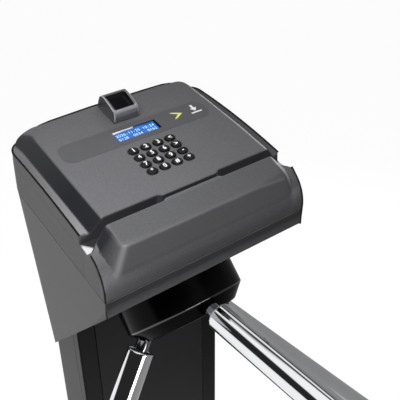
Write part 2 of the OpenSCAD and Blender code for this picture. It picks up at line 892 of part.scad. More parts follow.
module solenoids() {
    color("#a8742c") drive_frame() for (y = [-1, 1])
        translate([coil_x - coil_l / 2, y * plunger_y, cam_z + cam_t / 2]) difference() {
            cube([coil_l, 30, 28], center = true);
            rotate([0, 90, 0]) cylinder(r = plunger_r + run_clear, h = coil_l + 10, center = true);
        }
}

module lock_plunger(y) {
    color("#d2d4d8") drive_frame() translate([plunger_tip_x, y * plunger_y, cam_z + cam_t / 2])
        rotate([0, -90, 0]) {
            cylinder(r = plunger_r, h = coil_l + 26);
            translate([0, 0, coil_l + 20]) cylinder(r = plunger_r + 3, h = 6);
        }
}

module lock_plunger_upper() {
    lock_plunger(-1);
}

module lock_plunger_lower() {
    lock_plunger(1);
}

// The turning hub and its arms
module hub_cover() {
    color("#0e0e10") difference() {
        drive_frame() rotate_extrude($fn = 128) polygon([
            [hub_r, -apex_depth - hub_gap], [hub_r, -rim_h], [hub_r - bevel_w, -face_h],
            [0, -face_h], [0, -face_h + hub_wall],
            [hub_r - bevel_w - hub_wall * 0.41, -face_h + hub_wall],
            [hub_r - hub_wall, -rim_h + hub_wall * 0.41],
            [hub_r - hub_wall, -apex_depth - hub_gap]
        ]);
        for (i = [0 : 2]) arm_frame(i) translate([0, 0, 80]) cylinder(r = neck_r + 0.6, h = 60);
        drive_frame() for (a = [90 : 120 : 330]) rotate([0, 0, a]) translate([24, 0, -face_h - eps])
            cylinder(d = 5.2, h = 10);
    }
}

module arm_carrier() {
    color("#6f7176") difference() {
        union() {
            drive_frame() {
                translate([0, 0, -58]) cylinder(r = 46, h = 34);
                translate([0, 0, -face_h + hub_wall]) cylinder(r = 32, h = face_h - hub_wall - 50);
                translate([0, 0, -30]) cylinder(r = 19, h = 30 + plate_z - 0.6);
            }
            for (i = [0 : 2]) arm_frame(i) translate([0, 0, neck_start])
                cylinder(r = boss_r, h = boss_end - neck_start);
        }
        drive_frame() translate([0, 0, -face_h + 14]) cylinder(r = shaft_r, h = 120);
        for (i = [0 : 2]) arm_frame(i) {
            translate([0, 0, neck_start]) cylinder(r = neck_r, h = 60);
            translate([0, 0, cross_t]) rotate([0, 90, 90]) cylinder(d = 6, h = 60, center = true);
        }
        drive_frame() for (a = [90 : 120 : 330]) rotate([0, 0, a]) translate([24, 0, -face_h])
            cylinder(d = 5, h = 20);
    }
}

module arm_stub(i) {
    color("#d9dbe0") arm_frame(i) difference() {
        union() {
            translate([0, 0, neck_start]) cylinder(r = neck_r, h = arm_start + 30 - neck_start);
            translate([0, 0, arm_start + 1.5]) cylinder(r = arm_r - arm_wall, h = 34);
        }
        translate([0, 0, cross_t]) rotate([0, 90, 90]) cylinder(d = 6, h = 60, center = true);
    }
}

module arm_stub_1() {
    arm_stub(0);
}

module arm_stub_2() {
    arm_stub(1);
}

module arm_stub_3() {
    arm_stub(2);
}

module arm_tube(i) {
    color("#e4e6ea") arm_frame(i) translate([0, 0, arm_start])
        tube(arm_r, arm_r - arm_wall, arm_end - arm_start);
}

module arm_tube_1() {
    arm_tube(0);
}

module arm_tube_2() {
    arm_tube(1);
}

module arm_tube_3() {
    arm_tube(2);
}

module arm_caps() {
    color("#1a1a1c") for (i = [0 : 2]) arm_frame(i) translate([0, 0, arm_end]) rotate_extrude()
        polygon(concat(
            [[0, -18], [arm_r - arm_wall, -18], [arm_r - arm_wall, 0], [arm_r, 0], [arm_r, 2]],
            arc(arm_r - 4, 2, 4, 15, 90, 5),
            [[0, 6]]
        ));
}

module hub_bolts() {
    color("#c9cbd0") {
        for (i = [0 : 2]) arm_frame(i) translate([0, 0, cross_t]) rotate([0, 90, 90]) {
            cylinder(d = 6, h = 2 * boss_r + 4, center = true);
            for (s = [-1, 1]) translate([0, 0, s * (boss_r + 2.5)])
                cylinder(d = 10, h = 5, center = true);
        }
        drive_frame() for (a = [90 : 120 : 330]) rotate([0, 0, a])
            translate([24, 0, -face_h]) cylinder(d = 5, h = 18);
    }
}

base_plate();
column_shell();
column_trim_left();
column_trim_right();
column_door();
cable_grommet();
power_supply();
bracket_left();
bracket_right();
mechanism_plate();
frame_bolts();
lower_housing();
top_cover();
cover_screws();
label_strip();
lcd_window();
lcd_module();
keypad_board();
key(0);  // key_01
key(1);  // key_02
key(2);  // key_03
key(3);  // key_04
key(4);  // key_05
key(5);  // key_06
key(6);  // key_07
key(7);  // key_08
key(8);  // key_09
key(9);  // key_10
key(10);  // key_11
key(11);  // key_12
key(12);  // key_13
key(13);  // key_14
key(14);  // key_15
key(15);  // key_16
card_reader_module();
fingerprint_housing();
fingerprint_window();
control_board();
bearing_housing();
bearing_front();
bearing_rear();
main_shaft();
shaft_nut();
index_cam();
detent_lever();
detent_roller();
detent_spring();
solenoids();
lock_plunger_upper();
lock_plunger_lower();
hub_cover();
arm_carrier();
arm_stub_1();
arm_stub_2();
arm_stub_3();
arm_tube_1();
arm_tube_2();
arm_tube_3();
arm_caps();
hub_bolts();
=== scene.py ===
import itertools
import json
import math

import bmesh
import bpy
import numpy as np
from mathutils import Euler, Matrix, Vector


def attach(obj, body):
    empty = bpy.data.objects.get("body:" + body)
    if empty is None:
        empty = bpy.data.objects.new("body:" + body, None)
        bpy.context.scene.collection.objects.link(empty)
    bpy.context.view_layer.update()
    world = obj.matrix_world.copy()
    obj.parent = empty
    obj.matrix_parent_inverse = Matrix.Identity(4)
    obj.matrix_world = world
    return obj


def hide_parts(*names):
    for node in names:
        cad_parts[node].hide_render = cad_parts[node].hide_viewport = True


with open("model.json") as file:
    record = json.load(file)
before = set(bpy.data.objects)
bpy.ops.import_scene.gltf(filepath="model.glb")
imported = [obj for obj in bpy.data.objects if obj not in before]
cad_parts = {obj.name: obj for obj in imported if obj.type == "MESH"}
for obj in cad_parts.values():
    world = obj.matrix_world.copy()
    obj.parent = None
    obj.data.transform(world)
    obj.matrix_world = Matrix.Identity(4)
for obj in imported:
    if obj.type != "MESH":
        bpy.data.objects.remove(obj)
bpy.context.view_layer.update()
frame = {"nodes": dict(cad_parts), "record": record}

MM = 0.001
POST = "post"
TRIPOD = "tripod"

# Places of the head, its sloped panel and the drive

TILT = math.radians(13)
TN, CT, ST = math.tan(TILT), math.cos(TILT), math.sin(TILT)
HEAD = Vector((0, -0.103, 0.985))
HEAD_FRAME = Matrix.Translation(HEAD)
PANEL_FRAME = HEAD_FRAME @ Matrix.Rotation(TILT, 4, "X")
HUB = Vector((0, -0.04768, 0.80740))
DRIVE_FRAME = Matrix.Translation(HUB) @ Matrix.Rotation(math.radians(-45), 4, "X")
ARM_LEAN = math.radians(135)
ARM_TURNS = (-90, 30, 150)


def arm_frame(i):
    turn = Matrix.Rotation(math.radians(ARM_TURNS[i]), 4, "Z")
    return DRIVE_FRAME @ turn @ Matrix.Rotation(ARM_LEAN, 4, "Y")


def at_panel(u, v, w):
    """A point of the sloped panel, in millimetres across, up the slope and off it."""
    return PANEL_FRAME @ Matrix.Translation(Vector((u, v, w)) * MM)


# Materials

def node(tree, kind, **inputs):
    made = tree.nodes.new(kind)
    for key, value in inputs.items():
        made.inputs[key.replace("_", " ")].default_value = value
    return made


def noise(tree, source, scale, detail, stretch):
    mapping = node(tree, "ShaderNodeMapping", Scale=stretch)
    tree.links.new(source, mapping.inputs["Vector"])
    made = node(tree, "ShaderNodeTexNoise", Scale=scale, Detail=detail)
    tree.links.new(mapping.outputs["Vector"], made.inputs["Vector"])
    return made.outputs["Fac"]


def remap(tree, source, low, high, from_low=0.3, from_high=0.7):
    made = node(tree, "ShaderNodeMapRange", From_Min=from_low, From_Max=from_high, To_Min=low, To_Max=high)
    tree.links.new(source, made.inputs["Value"])
    return made.outputs["Result"]


def combine(tree, operation, a, b):
    made = tree.nodes.new("ShaderNodeMath")
    made.operation = operation
    tree.links.new(a, made.inputs[0])
    tree.links.new(b, made.inputs[1])
    return made.outputs[0]


def blend_colour(tree, factor, a, b):
    """Mixes two colours; each input is a socket or a plain value."""
    made = tree.nodes.new("ShaderNodeMix")
    made.data_type = "RGBA"
    for socket, value in ((made.inputs[0], factor), (made.inputs[6], a), (made.inputs[7], b)):
        if isinstance(value, bpy.types.NodeSocket):
            tree.links.new(value, socket)
        elif isinstance(value, float):
            socket.default_value = value
        else:
            socket.default_value = (*value, 1)
    return made.outputs[2]


def varied(tree, factor, base, amount):
    """The base colour, darker and lighter by a share of itself."""
    dark = [c * (1 - amount) for c in base]
    light = [min(1.0, c * (1 + amount)) for c in base]
    return blend_colour(tree, factor, dark, light)


PATCH_DETAIL, GRAIN_DETAIL = 4, 2
SPECKLE_SHARE = 0.6
GRAIN_HEIGHT = 0.0004


def material(name, base, rough, vary, patch, grain, bump, spread=0.05, metallic=0.0, specular=0.5,
             stretch=(1, 1, 1), zones=(), glow=0.0, speckle=0.0):
    """A procedural finish: patchy and speckled colour, grainy roughness and a fine bump. Patch and
    grain are the scales of the noise. Zones are (attribute, colour) pairs painted over the base."""
    made = bpy.data.materials.new(name)
    made.use_nodes = True
    tree = made.node_tree
    shader = tree.nodes["Principled BSDF"]
    place = tree.nodes.new("ShaderNodeTexCoord").outputs["Object"]
    colour = varied(tree, remap(tree, noise(tree, place, patch, PATCH_DETAIL, stretch), 0, 1), base, vary)
    grains = noise(tree, place, grain, GRAIN_DETAIL, stretch)
    if speckle:
        specks = varied(tree, remap(tree, grains, 0, 1), base, speckle)
        colour = blend_colour(tree, SPECKLE_SHARE, colour, specks)
    # each zone mixes a tint into the colour: here painted shade, with some plain darkening, and painted
    # highlights
    for attribute, tint in zones:
        mask = tree.nodes.new("ShaderNodeAttribute")
        mask.attribute_name = attribute
        colour = blend_colour(tree, mask.outputs["Fac"], colour, tint)
    tree.links.new(colour, shader.inputs["Base Color"])
    tree.links.new(remap(tree, grains, rough - spread, rough + spread), shader.inputs["Roughness"])
    if bump:
        relief = node(tree, "ShaderNodeBump", Strength=bump, Distance=GRAIN_HEIGHT)
        tree.links.new(grains, relief.inputs["Height"])
        tree.links.new(relief.outputs["Normal"], shader.inputs["Normal"])
    shader.inputs["Metallic"].default_value = metallic
    shader.inputs["Specular IOR Level"].default_value = specular
    if glow:
        tree.links.new(colour, shader.inputs["Emission Color"])
        shader.inputs["Emission Strength"].default_value = glow
    return made


FINISH = {}


def add_finish(name, *look, **more):
    FINISH[name] = material(name, *look, **more)


BLACK = (0.004, 0.004, 0.005)
# the dark tints below paint shade, and on the cover also some plain darkening; the light tints paint
# highlights
COVER_SHADE_AND_HIGHLIGHT_PAINT = (("dark", (0.013, 0.0135, 0.016)), ("light", (0.620, 0.620, 0.640)))
READER_SHADE_AND_HIGHLIGHT_PAINT = (("dark", BLACK), ("light", (0.46, 0.46, 0.48)))
# each finish has a colour, roughness, colour change, patch scale, grain scale and bump
add_finish("cover_grey", (0.122, 0.123, 0.130), 0.46, 0.06, 18, 700, 0.25, specular=0.40, speckle=0.28,
           zones=COVER_SHADE_AND_HIGHLIGHT_PAINT)
add_finish("label_film", (0.088, 0.089, 0.095), 0.42, 0.05, 30, 1500, 0.06)
add_finish("column_grey", (0.080, 0.082, 0.088), 0.44, 0.06, 14, 700, 0.12, specular=0.24, speckle=0.2)
# a darker, duller grey for the lower housing's front skirt: painted shade
add_finish("skirt_grey", (0.074, 0.075, 0.079), 0.44, 0.06, 14, 700, 0.12, specular=0.14, speckle=0.2)
add_finish("door_grey", (0.031, 0.032, 0.037), 0.42, 0.08, 14, 700, 0.12, specular=0.15)
add_finish("trim_black", BLACK, 0.34, 0.10, 20, 700, 0.05, specular=0.12)
add_finish("hub_black", BLACK, 0.16, 0.20, 25, 900, 0.03, specular=0.07)
add_finish("hub_rim", BLACK, 0.12, 0.20, 25, 900, 0.0, spread=0.02, specular=1.0)
add_finish("hub_face", (0.003, 0.003, 0.004), 0.16, 0.20, 25, 900, 0.03, specular=0.025)
add_finish("neck_steel", (0.26, 0.265, 0.28), 0.10, 0.04, 40, 200, 0.0, spread=0.02, metallic=1.0)
add_finish("chrome", (0.86, 0.87, 0.89), 0.06, 0.02, 22, 60, 0.0, spread=0.02, metallic=1.0)
add_finish("key_black", BLACK, 0.30, 0.15, 300, 2500, 0.08, specular=0.4)
add_finish("display_blue", (0.012, 0.125, 0.470), 0.10, 0.45, 45, 900, 0.0, spread=0.02, glow=0.35)
add_finish("reader_black", (0.140, 0.141, 0.148), 0.34, 0.08, 60, 1600, 0.06, specular=0.2,
           zones=READER_SHADE_AND_HIGHLIGHT_PAINT)
add_finish("reader_window", BLACK, 0.12, 0.2, 80, 900, 0.0, spread=0.02, specular=0.08)
add_finish("cap_black", (0.012, 0.012, 0.013), 0.45, 0.1, 60, 1500, 0.1)
add_finish("rubber_black", (0.008, 0.008, 0.008), 0.55, 0.1, 80, 1800, 0.12, specular=0.2)
add_finish("base_grey", (0.028, 0.030, 0.034), 0.42, 0.08, 14, 700, 0.15)
add_finish("steel", (0.45, 0.46, 0.48), 0.32, 0.06, 40, 500, 0.05, metallic=1.0, stretch=(1, 12, 12))
add_finish("cast_alu", (0.40, 0.41, 0.43), 0.45, 0.08, 60, 900, 0.25, metallic=1.0)
add_finish("board_green", (0.010, 0.070, 0.025), 0.35, 0.2, 150, 900, 0.05)
add_finish("coil_brown", (0.38, 0.18, 0.05), 0.35, 0.15, 200, 1200, 0.2, metallic=1.0, stretch=(8, 1, 1))
add_finish("module_black", (0.020, 0.020, 0.022), 0.45, 0.1, 60, 1200, 0.15)
add_finish("supply_grey", (0.33, 0.34, 0.36), 0.38, 0.06, 40, 600, 0.08, metallic=1.0)
add_finish("white_print", (0.93, 0.93, 0.93), 0.5, 0.04, 200, 1500, 0.05)
add_finish("lime_print", (0.80, 0.86, 0.24), 0.5, 0.05, 200, 1500, 0.05)
add_finish("display_ink", (0.42, 0.70, 0.95), 0.4, 0.04, 200, 1500, 0.0, glow=0.4)


# Mesh helpers

IN_PLACE = Matrix.Identity(4)


def add_object(name, data):
    made = bpy.data.objects.new(name, data)
    bpy.context.scene.collection.objects.link(made)
    return made


def evaluated_mesh(obj):
    """A new mesh of an object with its modifiers applied."""
    bpy.context.view_layer.update()
    return bpy.data.meshes.new_from_object(obj.evaluated_get(bpy.context.evaluated_depsgraph_get()))


def piece(name, mesh, finishes, body=POST, replaced=(), smooth=True):
    if smooth:
        mesh.polygons.foreach_set("use_smooth", [True] * len(mesh.polygons))
    for look in finishes:
        mesh.materials.append(look)
    made = add_object(name, mesh)
    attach(made, body)
    if replaced:
        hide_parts(*replaced)
    return made


def mesh_of(name, points, faces):
    made = bpy.data.meshes.new(name)
    made.from_pydata([tuple(p) for p in points], [], [tuple(f) for f in faces])
    made.validate()
    made.update()
    return made


def join(name, parts):
    """One mesh from (mesh, matrix, material index) parts."""
    whole = bmesh.new()
    for mesh, matrix, index in parts:
        before = len(whole.verts)
        faces_before = len(whole.faces)
        whole.from_mesh(mesh)
        whole.verts.ensure_lookup_table()
        whole.faces.ensure_lookup_table()
        bmesh.ops.transform(whole, matrix=matrix, verts=whole.verts[before:])
        for face in whole.faces[faces_before:]:
            face.material_index = index
    made = bpy.data.meshes.new(name)
    whole.to_mesh(made)
    whole.free()
    return made


def lathe(name, profile, count, matrix=IN_PLACE, closed=False):
    """Turns (radius, height) points, in millimetres, about Z. Points on the axis become poles."""
    points, rows = [], []
    for r, h in profile:
        if r < 1e-6:
            rows.append([len(points)] * count)
            points.append(matrix @ Vector((0, 0, h * MM)))
            continue
        rows.append(list(range(len(points), len(points) + count)))
        for k in range(count):
            a = 2 * math.pi * k / count
            points.append(matrix @ (Vector((r * math.cos(a), r * math.sin(a), h)) * MM))
    faces = []
    pairs = list(zip(rows, rows[1:])) + ([(rows[-1], rows[0])] if closed else [])
    for low, high in pairs:
        for k in range(count):
            n = (k + 1) % count
            face = [low[k], low[n], high[n], high[k]]
            face = [p for j, p in enumerate(face) if p != face[j - 1]]
            if len(face) > 2:
                faces.append(face)
    return mesh_of(name, points, faces)


def tube_faces(rings, count):
    """Faces of a tube made of rings of points, with both ends closed."""
    faces = []
    for i in range(rings - 1):
        for k in range(count):
            n = (k + 1) % count
            faces.append((i * count + k, i * count + n, (i + 1) * count + n, (i + 1) * count + k))
    faces.append(tuple(range(count))[::-1])
    faces.append(tuple(range((rings - 1) * count, rings * count)))
    return faces


def rounded(points, radii, steps=5):
    """A closed outline with its corners rounded."""
    out = []
    count = len(points)
    for i, (p, r) in enumerate(zip(points, radii)):
        p = np.array(p, float)
        a = np.array(points[i - 1], float) - p
        b = np.array(points[(i + 1) % count], float) - p
        la, lb = np.linalg.norm(a), np.linalg.norm(b)
        a, b = a / la, b / lb
        angle = math.acos(max(-1, min(1, float(a @ b))))
        if r <= 0 or angle > math.pi - 0.02:
            out.append(tuple(p))
            continue
        reach = min(r / math.tan(angle / 2), 0.49 * la, 0.49 * lb)
        r = reach * math.tan(angle / 2)
        centre = p + (a + b) / np.linalg.norm(a + b) * (r / math.sin(angle / 2))
        start, end = p + a * reach - centre, p + b * reach - centre
        a0 = math.atan2(start[1], start[0])
        turn = math.atan2(end[1], end[0]) - a0
        turn = (turn + math.pi) % (2 * math.pi) - math.pi
        for k in range(steps + 1):
            t = a0 + turn * k / steps
            out.append((centre[0] + r * math.cos(t), centre[1] + r * math.sin(t)))
    return out


def arc(cx, cy, r, a0, a1, steps):
    return [(cx + r * math.cos(math.radians(a0 + (a1 - a0) * k / steps)),
             cy + r * math.sin(math.radians(a0 + (a1 - a0) * k / steps))) for k in range(steps + 1)]


# Distance fields: negative inside, in millimetres

def outline_distance(points, gy, gz):
    """Distance to a closed outline of (y, z) points."""
    near = np.full(np.broadcast(gy, gz).shape, 1e9)
    inside = np.zeros(near.shape, bool)
    for (ay, az), (by, bz) in zip(points, points[1:] + points[:1]):
        ey, ez = by - ay, bz - az
        wy, wz = gy - ay, gz - az
        t = np.clip((wy * ey + wz * ez) / max(ey * ey + ez * ez, 1e-9), 0, 1)
        near = np.minimum(near, (wy - ey * t) ** 2 + (wz - ez * t) ** 2)
        if abs(ez) > 1e-9:
            inside ^= ((az > gz) != (bz > gz)) & (gy < ey * (gz - az) / ez + ay)
    return np.where(inside, -1, 1) * np.sqrt(near)


def both(a, b, r=0.0):
    """Intersection of two fields with the edge rounded by r."""
    if np.isscalar(r) and r == 0:
        return np.maximum(a, b)
    corner = np.sqrt(np.maximum(a + r, 0) ** 2 + np.maximum(b + r, 0) ** 2)
    return np.minimum(np.maximum(a, b), -r) + corner


def either(a, b, r):
    """Union of two fields with the inner edge rounded by r."""
    return -both(-a, -b, r)


def ramp(value, low, high):
    """Runs from 0 at low to 1 at high, which may be the smaller one."""
    return np.clip((value - low) / (high - low), 0, 1)


def place_points(mesh, points, matrix):
    """Moves a mesh's points to places given in millimetres."""
    placed = points * MM @ np.array(matrix.to_3x3()).T + np.array(matrix.translation)
    mesh.vertices.foreach_set("co", placed.astype(np.float32).ravel())
    mesh.update()


def surface(name, field, low, step, matrix):
    """Closed quad mesh round the inside of a field sampled on a grid."""
    inside = field < 0
    size = np.array(field.shape) - 1
    corners = list(itertools.product((0, 1), repeat=3))
    count = 0
    for c in corners:
        window = tuple(slice(c[k], size[k] + c[k]) for k in range(3))
        count = count + inside[window].astype(np.int8)
    active = (count > 0) & (count < 8)
    cells = np.argwhere(active)
    index = np.full(active.shape, -1, np.int64)
    index[active] = np.arange(len(cells))
    total, hits = np.zeros((len(cells), 3)), np.zeros(len(cells))
    for a, b in itertools.combinations(corners, 2):
        if sum(abs(i - j) for i, j in zip(a, b)) != 1:
            continue
        fa, fb = (field[tuple((cells + c).T)] for c in (a, b))
        cut = (fa < 0) != (fb < 0)
        t = fa[cut] / (fa[cut] - fb[cut])
        total[cut] += np.array(a) + t[:, None] * (np.array(b) - np.array(a))
        hits[cut] += 1
    points = (cells + total / hits[:, None]) * step + np.array(low)
    quads = []
    for axis in range(3):
        one, two = (axis + 1) % 3, (axis + 2) % 3
        ahead = [slice(None)] * 3
        behind = [slice(None)] * 3
        behind[axis], ahead[axis] = slice(0, -1), slice(1, None)
        cross = inside[tuple(behind)] != inside[tuple(ahead)]
        spots = np.argwhere(cross)
        spots = spots[(spots[:, one] > 0) & (spots[:, two] > 0)
                      & (spots[:, one] < size[one]) & (spots[:, two] < size[two])]
        ring = []
        for i, j in ((-1, -1), (0, -1), (0, 0), (-1, 0)):
            at = spots.copy()
            at[:, one] += i
            at[:, two] += j
            ring.append(index[tuple(at.T)])
        ring = np.stack(ring, 1)
        flip = ~inside[tuple(spots.T)]
        ring[flip] = ring[flip][:, ::-1]
        quads.append(ring)
    quads = np.concatenate(quads)
    made = bpy.data.meshes.new(name)
    made.vertices.add(len(points))
    place_points(made, points, matrix)
    made.loops.add(quads.size)
    made.loops.foreach_set("vertex_index", quads.astype(np.int32).ravel())
    made.polygons.add(len(quads))
    made.polygons.foreach_set("loop_start", np.arange(0, quads.size, 4, dtype=np.int32))
    made.update(calc_edges=True)
    made.validate()
    return made, points


def paint_light_and_shade(mesh, dark, light):
    """Stores how strongly a finish's dark and light zones show at each point: painted shade, with some
    plain darkening, and painted highlights.
    """
    for key, value in (("dark", dark), ("light", light)):
        mesh.attributes.new(key, "FLOAT", "POINT").data.foreach_set("value", value.astype(np.float32))


def grid(low, high, step):
    axes = [np.arange(a, b + step, step) for a, b in zip(low, high)]
    return np.meshgrid(*axes, indexing="ij", sparse=True)


# The top cover, in millimetres: y runs back from the panel's front edge and z up from it. A drop is
# measured straight down from the plane of the panel. A scale turns a distance along one axis into the
# distance off a leaning face.

COVER_STEP = 1.4
COVER_LOW, COVER_HIGH = (-160.3, -50.1, -84.1), (160.3, 188.1, 48.1)
COVER_WALL = 3.0
SEAM_DROP, SEAM_HALF = 70.0, 157.0
BACK_Y = 184.9
SIDE_SCALE, LEDGE_SCALE, HORN_SCALE, BULGE_SCALE, CROWN_SCALE = 0.993, 0.9, 0.8, 0.8, 0.933
NOSE_Y, NOSE_Z, NOSE_R = 7.0, -72.0, 54.0
NOSE_FRONT = NOSE_Y - NOSE_R
HORN_PROUD = 1.0
LEDGE_DROP, LEDGE_FRONT, LEDGE_INNER = 17.6, 3.1, 142.0
LEDGE_BACK, LEDGE_LOW = 200.0, -95.0
NOTCH_FRONT, NOTCH_BACK, NOTCH_SLOPE = (-12.4, -30.8), (3.4, -26.4), 0.278
LEDGE_OUTLINE = [(NOSE_FRONT, LEDGE_LOW), *arc(NOSE_Y, NOSE_Z, NOSE_R, 180, 122, 14),
                 NOTCH_FRONT, NOTCH_BACK,
                 (LEDGE_FRONT, LEDGE_FRONT * TN - LEDGE_DROP), (LEDGE_BACK, LEDGE_BACK * TN - LEDGE_DROP),
                 (LEDGE_BACK, LEDGE_LOW)]
CROWN_Y, CROWN_Z, CROWN_SLOPE = -9.6, -3.3, 0.386
BULGE_FRONT, BULGE_HALF, BULGE_CORNER = -43.8, 127.4, 9.5
RAISED_ROUND = 4.6
SLOT_Y = -5.0
SLOT_OUTLINE = [(-0.5, 8), (3.5, -26.6), (-12.3, -30.9), (CROWN_Y, CROWN_Z), (CROWN_Y, 8)]
SLOT_MIDDLE, SLOT_MIDDLE_HALF, SLOT_WIDENING = (-7.4, -3.0), 42.0, 0.8
KEY_PITCH, KEY_V = (19.05, 14.4), 59.3
KEY_SIZE, KEY_GAP, RIM_REACH = (15.0, 11.4), 0.6, 2.0
LCD_V, LCD_SIZE = 115.2, (66.6, 19.7)
CUT_DEPTH = 8.0


def rim_drop(y):
    """Arched drop from the panel to the outer rim of the side ledges."""
    return np.minimum(12.4 + 5.2 * ((y - 62) / 104) ** 2, LEDGE_DROP)


def ledge_half(x, y):
    """Half width of the cover at the rim of its ledges. The left back corner is the fuller one."""
    taper = np.where(x > 0, 4.8, 1.6)
    swell = np.where(x > 0, 2.2, 0.9)
    return 154.6 - taper * ramp(y, 0, 165) ** 1.3 + swell * ramp(y, 0, -20)


def ledge_rise(x, y):
    """How far a ledge has risen from its inner edge towards its rim."""
    share = ramp((np.abs(x) - LEDGE_INNER) / (ledge_half(x, y) - LEDGE_INNER), 0, 1)
    return share * (LEDGE_DROP - rim_drop(y))


def panel_half(x, y):
    """Half width of the raised panel, which reaches further right of the keys than left."""
    return np.where(x > 0, 131.6 - 6.0 * ramp(y, 50, 160) ** 1.2, 122.8)


def back_droop(x, y):
    """The back edge hangs a little on the left, and at its right end."""
    return 2.4 * ramp(x, -30, -110) * ramp(y, 150, 185) + 2.2 * ramp(x, 84, 114) * ramp(y, 160, 185)


def below_rim(drop):
    """Share of the way down from the rim to the seam."""
    return ramp(drop, 14, 71)


def cover_half(x, y, drop):
    """Half width of the cover, which widens from the rim to the seam."""
    rim = ledge_half(x, y)
    return rim + (SEAM_HALF - rim) * below_rim(drop)


def head_side(x, y, drop):
    """Distance to the cover's sides and back. Their corners widen towards the seam and the panel."""
    corner = 20 + 8 * below_rim(drop) + 12 * ramp(drop, 12, 0)
    return both((np.abs(x) - cover_half(x, y, drop)) * SIDE_SCALE, y - BACK_Y, corner)


def key_spot(i):
    return (i % 4 - 1.5) * KEY_PITCH[0], KEY_V + (1.5 - i // 4) * KEY_PITCH[1]


def panel_axes(x, y, z):
    """Coordinates across, up and off the raised panel."""
    return x, y * CT + z * ST, z * CT - y * ST


def key_hole(u, v):
    """Distance to the nearest key hole's outline, and the direction away from it."""
    column = np.clip(np.round(u / KEY_PITCH[0] + 1.5), 0, 3) - 1.5
    row = np.clip(np.round((v - KEY_V) / KEY_PITCH[1] + 1.5), 0, 3) - 1.5
    du, dv = u - column * KEY_PITCH[0], v - KEY_V - row * KEY_PITCH[1]
    straight = (KEY_SIZE[0] - KEY_SIZE[1]) / 2
    du = du - np.clip(du, -straight, straight)
    reach = np.maximum(np.hypot(du, dv), 1e-6)
    return reach - KEY_SIZE[1] / 2 - KEY_GAP, du / reach, dv / reach


def crisp_rims(points):
    """The points with those of the key holes moved onto their outlines, and which lie on a rim."""
    u, v, w = panel_axes(*points.T)
    gap, away_u, away_v = key_hole(u, v)
    near = np.flatnonzero((np.abs(gap) < RIM_REACH) & (np.abs(w) < 1.5 * COVER_WALL))
    cell = np.floor((points[near] - COVER_LOW) / COVER_STEP) * COVER_STEP + COVER_LOW
    corners = [panel_axes(*(cell + c).T) for c in itertools.product((0, COVER_STEP), repeat=3)]
    gaps = np.array([key_hole(cu, cv)[0] for cu, cv, cw in corners])
    heights = np.array([cw for cu, cv, cw in corners])
    at_wall = (gaps.min(0) < 0) & (gaps.max(0) > 0)
    wall = near[at_wall]
    rim = near[at_wall & (heights.min(0) < 0) & (heights.max(0) > 0)]
    u[wall] -= gap[wall] * away_u[wall]
    v[wall] -= gap[wall] * away_v[wall]
    w[rim] = 0
    on_rim = np.zeros(len(points), bool)
    on_rim[rim] = True
    return np.stack([u, v * CT - w * ST, v * ST + w * CT], 1), on_rim


def ledge_field(x, y, z, drop, side):
    """The low ledges beside the panel, which curve down over the nose."""
    rim = np.maximum((LEDGE_DROP - ledge_rise(x, y) - drop) * LEDGE_SCALE, LEDGE_FRONT - y)
    horn_r = NOSE_R + HORN_PROUD * ramp(x, 138, 146)
    horn_back = (y + 21 - 9 * ramp(np.abs(x), 154, 141)) * HORN_SCALE
    horn = np.maximum(np.hypot(y - NOSE_Y, z - NOSE_Z) - horn_r, horn_back)
    low = np.minimum(np.minimum(outline_distance(LEDGE_OUTLINE, y, z), rim), horn)
    return both(low, side, 1.2 + 3.0 * ramp(y, -18, -30))


def panel_fields(x, y, drop):
    """The raised panel behind the slot, and its sloped flanks."""
    flare = np.where(x > 0, 0.0, 4.0) * ramp(y, 158, 185) ** 1.5
    run = np.where(x > 0, 0.75, 1.12)
    flank = (np.abs(x) - panel_half(x, y) - flare - run * drop) / np.sqrt(1 + run ** 2)
    top = (back_droop(x, y) - drop) * CT
    panel = both(top, flank, 2.2 + 10.5 * ramp(y, 155, 184) ** 1.5)
    return both(panel, SLOT_Y - y), flank


def bulge_front(y, z):
    return -(y - BULGE_FRONT - 0.02 * (z + 16))


def bulge_fields(x, y, z):
    """The bulge in front of the slot, and its sides, which run down to the nose."""
    crown = CROWN_Z + (y - CROWN_Y) * CROWN_SLOPE
    nose_z = NOSE_Z + np.sqrt(np.maximum(NOSE_R ** 2 - (np.clip(y, -46, -22) - NOSE_Y) ** 2, 0))
    sink = (crown - z) / (crown - nose_z)
    spread = 14.0 + 5.0 * ramp(y, -38, -14)
    flank = (np.abs(x) - BULGE_HALF - spread * np.clip(sink, -0.5, 1.3)) * BULGE_SCALE
    top_r = 2.6 + 5.0 * ramp(x, 70, 125) * ramp(y, -26, -36)
    bulge = both((z - crown) * CROWN_SCALE, both(flank, bulge_front(y, z), BULGE_CORNER), top_r)
    return both(bulge, y - SLOT_Y), flank


def slot_field(x, y, z):
    """The card slot, which is narrow in the middle and opens towards its ends."""
    widen = np.maximum(np.abs(x) - SLOT_MIDDLE_HALF, 0) * SLOT_WIDENING
    mouth = np.maximum(y - SLOT_MIDDLE[1] - widen, SLOT_MIDDLE[0] - widen - y)
    return both(outline_distance(SLOT_OUTLINE, y, z), mouth)


def cover_parts(x, y, z):
    """Fields of the ledges, the raised parts, the slot and the raised parts' flanks, and the drop."""
    drop = y * TN - z
    side = head_side(x, y, drop)
    panel, panel_flank = panel_fields(x, y, drop)
    bulge, bulge_flank = bulge_fields(x, y, z)
    raised = both(np.minimum(panel, bulge), side, RAISED_ROUND)
    flank = np.where(y > SLOT_Y, panel_flank, bulge_flank)
    return ledge_field(x, y, z, drop, side), raised, slot_field(x, y, z), flank, drop


